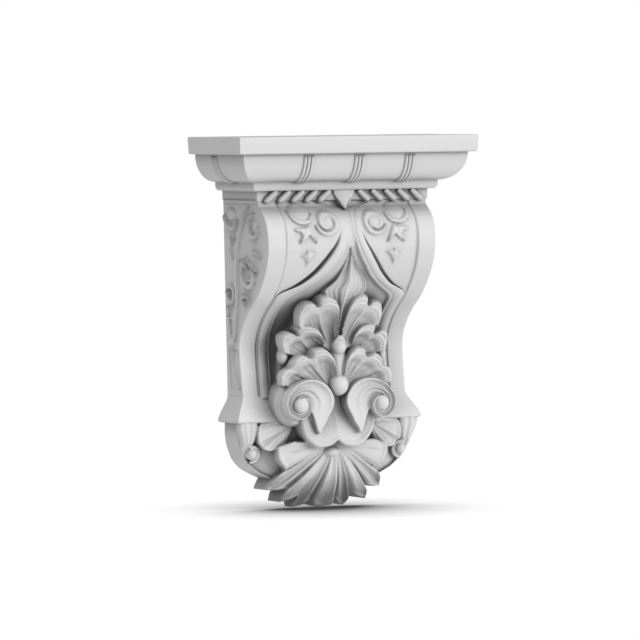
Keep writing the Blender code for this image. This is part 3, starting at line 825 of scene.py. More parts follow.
@dataclass
class Cornice(Piece):
    """Slab, ovolo, fillet and band round three sides, with triple ribs, rope strands and a tongue.

    Attributes:
        slab_half: half the slab's width, in millimetres.
        slab_depth: how far it stands out of the wall.
        slab_height: its height.
        slab_edge: radius of its edges.
        ovolo_foot: half-width of the moulding under the ovolo.
        ovolo_out: how far the ovolo swells past that.
        ovolo_foot_h: where the ovolo ends, down the sheet.
        fillet_foot_h: where the fillet ends.
        band_half: half-width of the band.
        band_foot_h: where the band ends.
        rib_spacing: from one set of ribs to the next on the front.
        rib_width: width of one rib.
        rib_lift: how far a rib stands off the ovolo.
        strand_first: the first strand's lower end, out from the middle.
        strand_step: from one strand to the next.
        strands: how many there are on each side of the tongue.
        tongue_foot_h: where the tongue's point ends, down the sheet.
        tongue_lip: how high the lip round its point stands.
        mitre: width of the soft edge round the moulding, in metres.
    """

    slab_half: float = 125.0
    slab_depth: float = 106.0
    slab_height: float = 16.0
    slab_edge: float = 1.7
    ovolo_foot: float = 97.0
    ovolo_out: float = 20.5
    ovolo_foot_h: float = 42.0
    fillet_foot_h: float = 50.0
    band_half: float = 89.5
    band_foot_h: float = 60.0
    rib_spacing: float = 53.0
    rib_width: float = 3.2
    rib_lift: float = 1.7
    strand_first: float = 25.7
    strand_step: float = 13.9
    strands: int = 5
    tongue_foot_h: float = 68.6
    tongue_lip: float = 1.5
    mitre: float = 0.0005

    @property
    def depth_shift(self) -> float:
        """What a half-width of the moulding is lowered by to give its depth."""
        return self.slab_half - self.slab_depth

    @property
    def band_depth(self) -> float:
        """How far the band stands out of the wall."""
        return self.band_half - self.depth_shift

    @property
    def ovolo_top_h(self) -> float:
        """Where the ovolo starts, down the sheet."""
        return self.slab_height + 0.4

    def profile(self) -> list[tuple[float, float]]:
        """Draws the moulding's outline.

        Returns:
            Its half-width and h, from the slab's top to the band's foot.
        """
        edge = self.slab_edge
        steps = []
        for turn in np.linspace(90, 0, 7):
            angle = radians(turn)
            steps.append((self.slab_half - edge + edge * cos(angle), edge - edge * sin(angle)))
        low = self.slab_half - 0.9
        for turn in np.linspace(0, 90, 7):
            angle = radians(turn)
            steps.append((low - edge + edge * cos(angle), self.slab_height - edge + edge * sin(angle)))
        rise = self.ovolo_foot_h - self.ovolo_top_h
        steps.append((self.ovolo_foot + self.ovolo_out + 0.5, self.slab_height))
        for turn in np.linspace(0, 90, 31):
            angle = radians(turn)
            half = self.ovolo_foot + self.ovolo_out * cos(angle)
            steps.append((half, self.ovolo_top_h + rise * sin(angle)))
        fillet = self.fillet_foot_h - self.ovolo_foot_h
        for inset, share in ((0.2, 0.04), (0.3, 0.55), (0.9, 0.74), (2.6, 1.0)):
            steps.append((self.ovolo_foot - inset, self.ovolo_foot_h + fillet * share))
        for swell, drop in ((0.6, 0.2), (0.0, 0.8)):
            steps.append((self.band_half + swell, self.fillet_foot_h + drop))
        for inset, up in ((0.0, 1.8), (0.5, 0.6), (1.6, 0.0)):
            steps.append((self.band_half - inset, self.band_foot_h - up))
        return steps

    def ribs(self) -> list[Form]:
        """Binds the ovolo with triple ribs.

        Returns:
            Three sets on the front and one on each side.
        """
        offsets = np.linspace(-1.75, 1.75, 43)
        beads = [np.sqrt(np.clip(1 - ((offsets - k) / 0.58) ** 2, 0, 1)) for k in (-1.16, 0, 1.16)]
        lifts = self.rib_lift * np.max(beads, axis=0) - 0.15
        offsets = np.concatenate([offsets[:1], offsets, offsets[-1:]])
        lifts = np.concatenate([[-3.0], lifts, [-3.0]])
        turns = np.radians(np.linspace(2, 89, 26))
        ends = np.sqrt(np.clip(np.minimum(turns - turns[0], turns[-1] - turns) / radians(6), 0, 1))
        turns, ends = turns[:, None], ends[:, None]
        lift = np.where(lifts[None] > -1, lifts[None] * ends - 0.1 * (1 - ends), lifts[None])
        half = self.ovolo_foot + self.ovolo_out * np.cos(turns) + lift * np.cos(turns)
        rise = self.ovolo_foot_h - self.ovolo_top_h
        h = self.ovolo_top_h + rise * np.sin(turns) + lift * np.sin(turns)
        forms = []
        for middle in (-self.rib_spacing, 0.0, self.rib_spacing):
            x = middle + self.rib_width + offsets[None] * self.rib_width
            forms.append(loft(self.sheet.place(x, h, half - self.depth_shift)))
        along = self.slab_depth * 0.37 + offsets[None] * self.rib_width
        return forms + both_sides([loft(self.sheet.place(half, h, along))])

    def rope(self) -> list[Form]:
        """Lays the slanted strands under the fillet.

        Returns:
            The strands on both sides, which lean in towards the tongue.
        """
        forms = []
        share = np.linspace(0, 1, 18)
        for k in range(self.strands):
            low = self.strand_first + self.strand_step * k
            x = low - 12.0 * share ** 0.9 + 1.5
            h = self.band_foot_h + 0.4 - 10.0 * share
            depth = self.band_depth + 1.4 + 0.8 * share
            halves = self.sheet.unit * smooth([0, 0.08, 0.25, 0.6, 1], [0.8, 2.4, 3.2, 3.0, 2.4], share)
            forms.append(tube(self.sheet.place(x, h, depth), halves, 0.9))
        return both_sides(forms)

    def tongue(self) -> Form:
        """Hangs the pointed tongue between the volutes.

        Returns:
            The tongue, with a lip round its point.
        """
        h = np.linspace(self.fillet_foot_h, self.tongue_foot_h, 40)[:, None]
        half = smooth([50, 54, 58, 62, 66, 68.6], [12.4, 10.9, 8.3, 5.4, 2.2, 0.3], h)
        share = np.linspace(-1, 1, 41)[None]
        lip = self.tongue_lip * ease((np.abs(share) - 0.55) / 0.3) * ease((h - 56) / 5)
        round_off = 2.6 * ease((np.abs(share) - 0.90) / 0.10)
        depth = self.band_depth + 2.2 + 1.4 * (1 - share ** 2) + lip - round_off
        depth = depth + 0.10 * np.clip(h - 56, 0, None)
        return patch(self.sheet.place(share * half, h, depth), self.sheet.unit * (self.band_depth - 8))

    def build(self) -> bpy.types.Object:
        """Makes the cornice, then its ribs, rope and tongue.

        Returns:
            The carved pieces on the moulding.
        """
        steps = [(half, h, half - self.depth_shift) for half, h in self.profile()]
        moulding = joined([self.wrapped(steps)], "cornice")
        soft_mitres(moulding, self.mitre, 2)
        self.dress(moulding, Meeting.MOULDED)
        carving = joined(self.ribs() + self.rope() + [self.tongue()], "cornice_carving")
        return self.dress(carving, Meeting.RIBBED)


@dataclass
class ConsoleBody(Piece):
    """The scrolled body: strips, two volutes with rims and sunk panels, and carved sides.

    Attributes:
        top_h: where it starts, down the sheet.
        foot_h: where the belt begins.
        half_top: half its width at the top, in millimetres.
        half_foot: half its width at the foot.
        strip: where the outer strip's inner edge runs, out from the middle.
        panel_sink: how far the panels lie back.
        panel_lift: how far the panels' carving stands up.
        side_lift: how far the sides' carving stands up.
        back: how far its back lies out of the wall, so that no two backs share a plane.
        corner: radius of the corner between the front and a side.
        rows: how many levels the skin has.
        side_columns: how many points it has down each side at a level.
    """

    top_h: float = 57.0
    foot_h: float = 243.0
    half_top: float = 88.5
    half_foot: float = 86.0
    strip: float = 69.0
    panel_sink: float = 1.7
    panel_lift: float = 2.7
    side_lift: float = 3.8
    back: float = 0.03
    corner: float = 1.2
    rows: int = 222
    side_columns: int = 55

    # Level, and how far the front stands out of the wall there.
    PROFILE = (
        (57, 69.3), (60, 69.5), (64.1, 70.4), (67.5, 74.2), (71.4, 78.9), (78.1, 84.3), (84.8, 87.1),
        (94.8, 88.7), (101.5, 88.9), (111.7, 87.1), (121.9, 83.3), (132.1, 77.3), (142.5, 69.0),
        (150.4, 61.5), (162, 46.5), (173.5, 35.4), (185, 28.2), (196.4, 25.7), (210, 26.6), (227, 28.9),
        (241, 31.3), (246, 31.8),
    )
    # Level, and where the volute's rim starts, out from the middle.
    RIM_OUTSIDE = (
        (58, 33), (62, 23), (67.4, 9), (75.8, 4.5), (87.1, 3.2), (98.4, 4.6), (107, 7.5), (113.9, 11.5),
        (121.5, 17.5), (129.3, 24.0), (140.5, 38.0), (148.5, 51.0), (153, 54.0), (165, 55.0), (241, 55.0),
    )
    # Level, and where that rim ends and the sunk panel starts.
    RIM_INSIDE = (
        (58, 46), (62, 35), (66, 24), (72, 14.0), (80, 11.5), (88, 11.2), (95.4, 13.0), (109.4, 20.8),
        (118, 27.0), (126, 33.5), (137.2, 47.0), (141.5, 56.5), (144.5, 64.0), (148, 67.6), (160, 67.9),
        (241, 67.9),
    )
    # Level, and how deep the groove inside the rim is.
    GROOVE = (
        (58, 0), (84, 0), (92, 0.4), (102, 1.8), (115, 3.6), (138, 4.4), (146, 2.4), (156, 1.0),
        (241, 0.8),
    )
    # Path, points, half-width in the middle and at the ends, share of the lift.
    PANEL_LINES = (
        (((-62, 69), (-59.5, 75), (-52, 79.5), (-43.5, 78.5), (-38.5, 72)), 24, 2.5, 0.9, 1.1),
        (((-48, 84), (-50, 90), (-54, 98)), 12, 1.0, 0.5, 1.15),
        (((-46, 84), (-41.5, 91), (-37.5, 98.5)), 12, 1.0, 0.5, 1.15),
    )
    # The same for a side face, whose paths run through depth and level.
    SIDE_LINES = (
        (
            ((52, 66), (42, 77), (33, 92), (26.5, 112), (26, 130), (27, 146), (24, 166), (20, 188)),
            40, 3.4, 0.9, 0.9,
        ),
        (((59, 106), (75, 110)), 8, 1.5, 0.6, 0.9),
        (((43, 112), (55, 119), (67, 125)), 14, 1.4, 0.5, 1),
        (((35, 114), (42, 119), (49, 122)), 12, 1.8, 0.6, 1),
        (((36, 146), (53, 151)), 8, 1.4, 0.6, 0.9),
        (((38, 151), (43, 156.5)), 8, 1.3, 0.6, 0.9),
        (((3, 73), (10, 82), (22, 85.5), (29, 77)), 24, 2.8, 0.8, 1),
        (((14, 93), (17, 97.5), (24, 94)), 12, 1.1, 0.5, 0.7),
        (((15, 99), (16, 108), (23, 115)), 12, 1.5, 0.5, 0.7),
        (((5, 158), (10, 163), (8, 167)), 12, 1.4, 0.6, 0.8),
        (((15, 198), (10.5, 208), (16, 222), (24.5, 234)), 24, 1.6, 0.6, 0.45),
    )

    def depth(self, h: Values) -> Array:
        """How far the body's front stands out of the wall, in millimetres."""
        return follow(self.PROFILE, h)

    def half(self, h: Values) -> Array:
        """Half the body's width, in millimetres."""
        share = np.clip((np.asarray(h, float) - 60) / 181, 0, 1)
        return self.half_top + (self.half_foot - self.half_top) * share

    def front_row(self, h: float) -> tuple[Array, Array]:
        """The front's cross-profile at one level.

        Args:
            h: the level, down the sheet.

        Returns:
            Places out from the middle and the lift at each, in millimetres.
        """
        outside = float(follow(self.RIM_OUTSIDE, h))
        inside = min(float(follow(self.RIM_INSIDE, h)), self.strip - 1.4)
        groove = float(follow(self.GROOVE, h))
        edge = float(self.half(h))
        panel = self.strip - inside
        fade = float(ease((h - 82) / 28))
        sink = self.panel_sink * min(1.0, panel / 8) * (0.45 + 0.55 * fade)
        ground = float(smooth([58, 92, 126, 155, 195, 246], [2.4, 2.4, 5.2, 4.2, 2.8, 2.4], h))
        wall = min(outside - 0.4, 1.0 + 3.6 * (1 - fade))
        t = np.linspace(0, 1, 30)
        rim = -0.9 + 1.0 * np.sqrt(np.clip(1 - ((t - 0.13) / 0.16) ** 2, 0, 1)) * (t < 0.29)
        broad = np.clip(1 - ((t - 0.62) / 0.42) ** 2, 0, 1) ** 0.5
        rim = np.maximum(rim, -0.9 + 2.6 * broad * (t > 0.24))
        rim[0] = -1.6
        rim[-1] = -1.0 - 0.3 * groove
        sunk = -sink * (1 - fade) * ease((t + 0.5) / 0.8)
        rim = sunk - (1 - fade) * 1.2 * (1 - ease(t / 0.5)) + rim * fade
        rise = ease(np.linspace(0, 1, 9))
        pieces = [
            (np.linspace(0, outside - wall, 13)[:-1], np.full(12, -ground)),
            (outside - wall + wall * np.linspace(0, 1, 10)[:-1], -ground + (ground + rim[0]) * rise),
            (outside + (inside - outside) * t, rim),
        ]
        wide = min(panel * 0.22, 1.0 + groove)
        g = np.linspace(0, 1, 9)[1:]
        cut = -sink - groove * np.sin(pi * np.clip(0.35 + g * 0.65, 0, 1))
        pieces.append((inside + wide * g, cut))
        flat = np.linspace(inside + wide, self.strip - min(1.6, panel * 0.2), 66)[1:]
        pieces.append((flat, np.full(65, -sink)))
        last = flat[-1]
        soft = np.linspace(last, self.strip + 1.6, 9)[1:]
        shallow = -sink * (1 - ease((soft - last) / (self.strip + 1.6 - last)))
        shallow = shallow - 0.9 * bump(soft, self.strip - 0.2, 1.9)
        pieces.append((soft, shallow))
        pieces.append((np.linspace(self.strip + 2.0, edge - 1.5, 18), np.zeros(18)))
        turn = np.radians(np.linspace(0, 90, 6))[1:]
        rounded = -self.corner + self.corner * np.cos(turn)
        pieces.append((edge - self.corner + self.corner * np.sin(turn), rounded))
        return np.concatenate([p[0] for p in pieces]), np.concatenate([p[1] for p in pieces])

    def panel_parts(self) -> list[Carving]:
        """Draws the left volute's panel.

        Returns:
            Its spiral, cup, three-point leaf and star.
        """
        lift = self.panel_lift
        leaf = [(-62, 84.5), (-54.5, 84.5), (-43, 82.5), (-39.5, 90), (-36.5, 99.5), (-40, 97.5)]
        leaf += [(-45, 92), (-49, 96), (-54.5, 99), (-52.5, 92), (-54, 89), (-58, 88.5)]
        star = [(-55.5, 109.5), (-49, 108.8), (-46, 103.0), (-43, 106.2), (-35, 107.0), (-40, 111.5)]
        star += [(-43, 115), (-45.5, 122.5), (-47.2, 115), (-50, 112.3)]
        return [
            Stroke(spiral((-25, 79.5), 165, -1.25, 12.0, 5.4), 2.8, 1.2, lift),
            Dome((-25, 79.5), (6.6, 7.2), lift * 0.7),
            Dome((-50.5, 69.5), (10.0, 8.0), lift * 0.8),
            *strokes(self.PANEL_LINES, lift),
            Blade(np.array(leaf, float), lift * 0.95, 1.5),
            Blade(np.array(star, float), lift * 0.9, 1.8),
            Dome((-45, 110.5), (2.8, 2.8), lift * 1.35),
        ]

    def side_parts(self) -> list[Carving]:
        """Draws a side face, in depth and h.

        Returns:
            Its stem, scrolls, cup, ticks, slot and long panel.
        """
        lift = self.side_lift
        frame = [(4, 197), (13, 196), (25, 199), (27.5, 236), (6.5, 236)]
        slot = [(5.5, 169.5), (12.5, 169.5), (15.5, 184.5), (8, 184.5)]
        return [
            Blade(np.array([(1, 57.5), (67, 57.5), (69, 62), (1, 62)], float), lift * 0.5, 0.9),
            *strokes(self.SIDE_LINES, lift),
            Stroke(spiral((64, 84), -100, -0.72, 12.5, 7.0), 2.8, 0.9, lift),
            Dome((65, 83), (5.0, 6.5), lift * 0.6),
            Stroke(spiral((51, 127), 215, -0.66, 14.5, 9.5), 3.0, 1.0, lift),
            Stroke(spiral((54, 126), 150, -0.55, 8.0, 5.0), 2.0, 0.8, lift * 0.8),
            Stroke(spiral((14.5, 148), -160, 1.15, 9.0, 4.0), 2.3, 0.8, lift),
            Dome((17, 72), (9.5, 6.5), lift * 0.55),
            Blade(np.array(slot, float), -1.8, 0.9),
            Dome((12.5, 190.5), (6.5, 4.8), lift * 0.9),
            Blade(np.array(frame, float), -1.3, 1.1),
        ]

    def build(self) -> bpy.types.Object:
        """Makes the body as one skin round its two sides and its front, with a flat back.

        Returns:
            The body.
        """
        count = self.side_columns
        levels = np.linspace(self.top_h, self.foot_h, self.rows)
        rows_x, rows_h, rows_d = [], [], []
        side = np.linspace(0, 1, count + 1)[:-1]
        for h in levels:
            out, lift = self.front_row(float(h))
            depth = float(self.depth(h))
            half = float(self.half(h))
            front_x = np.concatenate([-out[::-1], out[1:]])
            front_d = depth + np.concatenate([lift[::-1], lift[1:]])
            side_d = side * (depth - self.corner)
            rows_x.append(np.concatenate([np.full(count, -half), front_x, np.full(count, half)]))
            rows_d.append(np.concatenate([side_d, front_d, side_d[::-1]]))
            rows_h.append(np.full(len(rows_x[-1]), h))
        x, h, d = np.array(rows_x), np.array(rows_h), np.array(rows_d)
        front = slice(count, -count)
        carved = relief(self.panel_parts(), -np.abs(x[:, front]), h[:, front])
        strip_start = self.strip - 1.5
        d[:, front] += np.where(np.abs(x[:, front]) < strip_start, carved, 0)
        for columns, sign in ((slice(0, count), -1), (slice(-count, None), 1)):
            rise = relief(self.side_parts(), d[:, columns], h[:, columns])
            inner = self.depth(h[:, columns]) - self.corner - d[:, columns]
            x[:, columns] += sign * rise * (ease(d[:, columns] / 5.0) * ease(inner / 2.0))
        d = np.maximum(d, self.back)
        wall = np.full((1, d.shape[1]), self.back)
        x = np.vstack([x[:1], x, x[-1:]])
        h = np.vstack([h[:1], h, h[-1:]])
        d = np.vstack([wall, d, wall])
        bm = surface(self.sheet.place(x, h, d))
        bmesh.ops.holes_fill(bm, edges=open_edges(bm), sides=0)
        return self.dress(joined([bm], "console_body"), Meeting.CARVED)


@dataclass
class BeltAndBowl(Piece):
    """The flared belt round the body's foot and the rounded bowl under it.

    Attributes:
        half: half the width at the belt's top, in millimetres.
        depth: how far the belt's top stands out of the wall.
        flare: how far the belt swells past that.
        top_h: where the belt starts, down the sheet.
        foot_h: where it ends.
        bowl_top_h: where the bowl starts, behind the belt.
        bowl_foot_h: where it ends.
        bowl_side: how deep the bowl is at its sides.
        bowl_belly: how deep its middle is.
        rim_width: width of the raised rim along the bowl's sides.
        rim_drop: how far the bowl's front lies behind that rim.
        back: how far the bowl's back lies out of the wall, in metres.
        mitre: width of the soft edge round the belt, in metres.
    """

    half: float = 86.0
    depth: float = 31.3
    flare: float = 10.5
    top_h: float = 240.0
    foot_h: float = 266.0
    bowl_top_h: float = 262.0
    bowl_foot_h: float = 329.0
    bowl_side: float = 28.0
    bowl_belly: float = 41.0
    rim_width: float = 1.8
    rim_drop: float = 3.6
    back: float = 0.00003
    mitre: float = 0.0007

    # Level, and half the bowl's width there.
    BOWL_HALF = (
        (262, 89), (274, 89.5), (284, 88.6), (292.7, 86), (300, 82.9), (305.7, 78.5), (310.5, 72.7),
        (314.1, 66.1), (317.6, 58.7), (322, 47), (326, 32), (329, 18),
    )
    # Share of the way down the belt, and share of its swelling.
    FLARE = (
        (0, -0.10), (0.03, 0.01), (0.16, 0.12), (0.36, 0.38), (0.56, 0.66), (0.74, 0.88), (0.86, 0.985),
        (0.92, 1.0), (0.965, 0.93), (0.99, 0.82), (1.0, 0.66),
    )

    def belt(self) -> Form:
        """Runs the belt round the body's foot.

        Returns:
            The belt as one solid with mitred corners.
        """
        share = np.linspace(0, 1, 48)
        out = self.flare * follow(self.FLARE, share)
        level = self.top_h + 1 + (self.foot_h - self.top_h - 1) * share
        return self.wrapped(list(zip(self.half + out, level, self.depth + out)))

    def bowl(self) -> Form:
        """Rounds the bowl.

        Returns:
            The bowl, with a thin raised rim where its front meets its sides.
        """
        h = np.linspace(self.bowl_top_h, self.bowl_foot_h, 84)[:, None]
        half = follow(self.BOWL_HALF, h)
        columns = np.sin(np.linspace(-pi / 2, pi / 2, 141))[None]
        x = half * columns
        inward = half - np.abs(x)
        top_share = np.clip(1 - ((h - self.bowl_top_h) / 74) ** 2, 0, 1)
        belly = self.bowl_belly * (0.60 + 0.40 * top_share)
        hollow = self.bowl_side - self.rim_drop
        front = hollow + (belly - hollow) * (1 - np.abs(columns) ** 2.2)
        rim = ease(1 - (inward - self.rim_width) / 1.6)
        depth = front + (self.bowl_side - front) * rim
        rounding = 0.9 * ease(1 - inward / 0.9)
        return patch(self.sheet.place(x, h, depth - rounding), self.back)

    def build(self) -> bpy.types.Object:
        """Makes the belt, then the bowl.

        Returns:
            The bowl.
        """
        belt = joined([self.belt()], "belt")
        soft_mitres(belt, self.mitre, 3)
        self.dress(belt, Meeting.BELTED)
        return self.dress(joined([self.bowl()], "bowl"), Meeting.ROUNDED)


@dataclass
class LeafSpray(CastPiece):
    """The spray between the volutes: a pointed leaf, three shell leaves a side, a bud and their bed.

    Attributes:
        depth: how far the spray's middle stands out at the bud, in millimetres.
        fall: how far it falls back 56 mm to each side.
        stem: how high the middle leaf's stem stands.
        hollow: how deep its two halves are hollowed.
        lip: how high its lip stands.
        vein: how deep its veins are cut.
        leaf_back: how far out of the wall its back lies, in metres.
        bed_sink: how far the bed lies behind the spray's surface.
        bed_back: how far out of the wall the bed's back lies, in metres.
    """

    voxel: float = 0.00062
    kept: float = 0.49
    depth: float = 57.0
    fall: float = 9.0
    stem: float = 2.2
    hollow: float = 2.4
    lip: float = 1.3
    vein: float = 1.3
    leaf_back: float = 0.030
    bed_sink: float = 6.5
    bed_back: float = 0.004

    NAME = "leaf_spray"
    # Each lip's x, level, crown (1) or notch (0), and how far the roll reaches outside it.
    UPPER = (
        (-2.1, 186, 0.7, 1.5), (-3.6, 172, 0.8, 1.8), (-5.6, 162, 0.9, 4), (-10, 157, 1, 8),
        (-17, 155.2, 1, 10.5), (-22.5, 156, 0.8, 9), (-25.8, 159, 0, 7), (-29, 159, 0.7, 8),
        (-34.5, 160, 1, 9), (-39.5, 163.5, 0.9, 7), (-42.0, 169, 0.8, 3.5), (-41.5, 176, 0.6, 2),
    )
    MIDDLE = (
        (-14.5, 193, 0.6, 1.5), (-17.5, 187, 0.8, 4), (-23, 182.5, 1, 8), (-31, 181.0, 1, 10),
        (-37.5, 183, 0.7, 9), (-39.5, 186, 0, 7), (-43.5, 186, 0.8, 10), (-48.5, 188, 1, 10),
        (-53, 194, 0.9, 4.5), (-52, 201, 0.6, 2),
    )
    LOWER = (
        (-3.6, 224, 0.7, 1.5), (-5.4, 214, 0.8, 3), (-10, 206.5, 1, 6), (-17, 202.5, 1, 7.5),
        (-24, 203, 0.8, 7), (-29, 207, 0, 5), (-35, 207, 0.9, 7), (-42, 210, 1, 6),
        (-47.5, 215.5, 0.1, 3), (-52.5, 218, 0.9, 3.5), (-57.0, 224, 0.9, 2), (-56.5, 231, 0.6, 1.5),
    )
    # The middle leaf's left edge and right edge, each as x and level.
    POINTED = (
        (-2.4, 198, 2.4, 198), (-4.6, 180, 4.8, 180), (-9, 163, 8.5, 163), (-16, 150, 17, 149),
        (-20.5, 143.5, 22.5, 143), (-17, 139.5, 22, 138), (-11, 134, 17.5, 131), (-6.4, 125, 10.5, 123),
        (-3.0, 114, 5.0, 114), (-0.6, 103.5, 1.0, 103.5),
    )

    def ground(self, x: Values, h: Values) -> Array:
        """The surface that the spray is carved on, in millimetres out of the wall."""
        axis = smooth([97, 150, 190, 260], [88.9, 70.5, self.depth, self.depth], h)
        return axis - self.fall * (np.asarray(x) / 56) ** 2

    def off_ground(self, lift: float) -> Field:
        """The surface that stands this far off the spray's own."""
        return lambda x, h: self.ground(x, h) + lift

    def leaves(self) -> list[Form]:
        """Makes the shell leaves.

        Returns:
            The three on the left.
        """
        upper = ShellLeaf(
            (-4, 203), self.UPPER, self.off_ground(0.5), lift=5.0, dish=5.5, veins=15, back=30, fall=10
        )
        middle = ShellLeaf(
            (-12, 212), self.MIDDLE, self.off_ground(-2), lift=5.0, dish=5.0, veins=13, back=18, fall=10
        )
        lower = ShellLeaf(
            (-5, 238), self.LOWER, self.off_ground(1), lift=6.0, dish=4.5, veins=11, back=19, fall=9
        )
        return [leaf.build(self.sheet) for leaf in (upper, middle, lower)]

    def back_leaves(self) -> list[Form]:
        """Makes the small curled tips that show behind the shell leaves.

        Returns:
            The two on the left.
        """
        forms = []
        for x, h, depth, wide, tall in ((-51.5, 204, 44, 5, 8), (-53, 236, 46, 4.5, 7)):
            radii = (wide * self.sheet.unit, 0.0065, tall * self.sheet.unit)
            forms.append(ball(self.sheet.place(x, h, depth), radii, 28))
        return forms

    def middle_leaf(self) -> Form:
        """Raises the pointed leaf between the volutes.

        Returns:
            The leaf, with veins that fan from its stem.
        """
        line = through(self.POINTED, 110)
        share = np.linspace(0, 1, 97)[None]
        x = line[:, :1] + (line[:, 2:3] - line[:, :1]) * share
        h = line[:, 1:2] + (line[:, 3:4] - line[:, 1:2]) * share
        away = np.abs(2 * share - 1)
        stem = self.stem * np.clip(1 - away / 0.26, 0, 1) ** 0.8
        dished = np.sin(pi * np.clip((away - 0.14) / 0.84, 0, 1))
        hollow = -self.hollow * dished * np.where(share < 0.5, 1.3, 0.7)
        lip = self.lip * bump(away, 0.97, 0.10)
        groove = np.abs(np.sin(pi * 9 * share)) ** 0.6 - 1
        veins = self.vein * groove * bump(h, 150, 26) * ease((0.97 - away) / 0.1)
        depth = self.ground(x, h) + stem + hollow + lip + veins
        return patch(self.sheet.place(x, h, depth), self.leaf_back)

    def bed(self) -> Form:
        """Makes the mass that carries the leaves.

        Returns:
            The bed.
        """
        h = np.linspace(126, 262, 70)[:, None]
        half = smooth([126, 150, 170, 190, 215, 262], [9, 26, 37, 46, 50, 53], h)
        share = np.linspace(-1, 1, 61)[None]
        x = half * share
        depth = self.ground(x, h) - self.bed_sink - 8 * share ** 2
        return patch(self.sheet.place(x, h, depth), self.bed_back)

    def buds(self) -> list[Form]:
        """Makes the forms on the middle line.

        Returns:
            The bud above the lower leaves, its collar, its stem and the ball between the scrolls.
        """
        path = self.sheet.place(np.zeros(24), np.linspace(198, 230, 24), np.linspace(55, 54.5, 24))
        collar = self.sheet.place(*through([(-6.0, 193, 60), (0, 187.6, 62.5), (6.0, 193, 60)], 24).T)
        return [
            ball(self.sheet.place(0, 196.5, 57), (0.0080, 0.0088, 0.0085)),
            tube(collar, self.sheet.unit * (0.8 + 1.5 * np.sin(np.linspace(0.05, 0.95, 24) * pi))),
            tube(path, self.sheet.unit * np.linspace(8.2, 7.0, 24), 0.9),
            ball(self.sheet.place(0, 231.5, 57.0), (0.0102, 0.0100, 0.0106)),
        ]

    def forms(self) -> list[Form]:
        """The leaves on both sides, the middle leaf, the bed and the buds."""
        paired = both_sides(self.leaves() + self.back_leaves())
        return paired + [self.middle_leaf(), self.bed()] + self.buds()


@dataclass
class Scrolls(CastPiece):
    """The two big scrolls over the belt.

    Attributes:
        eye: the left scroll's eye on the sheet.
        depth: how far the scroll's face stands out of the wall, in millimetres.
        turn_height: how far a turn stands off the mound.
        eye_radius: radius of the round eye.
        middle: the mound's middle on the sheet.
        back: how far out of the wall the mound's back lies, in metres.
    """

    eye: tuple[float, float] = (-42.6, 249.5)
    depth: float = 61.5
    turn_height: float = 10.0
    eye_radius: float = 7.4
    middle: tuple[float, float] = (-33.0, 248.0)
    back: float = 0.0105

    NAME = "scrolls"
    # Angle round the eye, and the turn's outer radius.
    RADIUS = (
        (-54, 35), (-40, 32), (-23, 32), (8, 36.5), (27, 34.5), (45, 31), (68, 25.5), (100, 19.5),
        (140, 16), (180, 14.8), (225, 13.8), (270, 13.0), (322, 11.5), (400, 8.5), (460, 6.5), (830, 2),
    )
    # The mound's outline, as x and level.
    MOUND = (
        (-8, 252), (-5.5, 243), (-8, 234), (-16, 227), (-27, 222.5), (-40, 223.5), (-52, 229), (-59, 238),
        (-61, 248), (-59, 258), (-53, 266), (-44, 270), (-34, 270), (-27, 272), (-21, 276), (-15, 266),
        (-8, 252),
    )
    # Share of the way across the band, and how far its face stands up.
    SECTION = (
        (0.0, -4.8), (0.10, -3.6), (0.22, -2.4), (0.30, -2.0), (0.35, -2.9), (0.44, -1.3), (0.52, -0.7),
        (0.57, -1.8), (0.68, -2.4), (0.80, -1.5), (0.91, 0.6), (0.96, 0.9), (1.0, -0.2),
    )

    def radius(self, angle: Values) -> Array:
        """The turn's outer radius at an angle round the eye, in degrees."""
        return follow(self.RADIUS, angle)

    def band(self) -> Form:
        """Winds the band in to the eye.

        Returns:
            The band, hollowed along its middle.
        """
        angle = np.linspace(-52, 455, 240)[:, None]
        outer = self.radius(angle)
        inner = np.clip(np.minimum(outer - 2.4, self.radius(angle + 360) * 0.96), 1.0, None)
        inner = outer - (outer - inner) * np.clip((angle + 53.5) / 34, 0, 1) ** 0.6
        share = np.linspace(0, 1, 26)[None]
        width = outer - inner
        lip = ease((angle + 50) / 110)
        crest = self.depth + 1.0 + 5.0 * np.clip(angle, 0, None) / 440
        flat = np.clip((angle - 250) / 160, 0, 1)
        shape = follow(self.SECTION, share) * lip * (1 - 0.65 * flat)
        radius = inner + width * share
        depth = crest + shape
        radius = np.hstack([inner - 0.2, radius, outer + 1.2])
        foot = crest - self.turn_height
        depth = np.hstack([foot, depth, foot])
        x = self.eye[0] + radius * np.cos(np.radians(angle))
        h = self.eye[1] - radius * np.sin(np.radians(angle))
        return loft(self.sheet.place(x, h, depth))

    def mound(self) -> Form:
        """Makes the rounded mass behind the band.

        Returns:
            The mound.
        """
        share = np.linspace(0, 1, 30)[:, None]
        x, h = towards(self.middle, through(self.MOUND, 140), share)
        depth = self.depth - smooth([0, 0.5, 0.85, 1.0], [4.5, 5.0, 8.0, 16.0], share)
        return patch(self.sheet.place(x, h, depth), self.back)

    def eye_ball(self) -> Form:
        """The round eye."""
        radius = self.eye_radius * self.sheet.unit
        return ball(self.sheet.place(*self.eye, self.depth + 2.2), (radius, radius * 0.85, radius))

    def forms(self) -> list[Form]:
        """The mound, band and eye on both sides."""
        return both_sides([self.mound(), self.band(), self.eye_ball()])


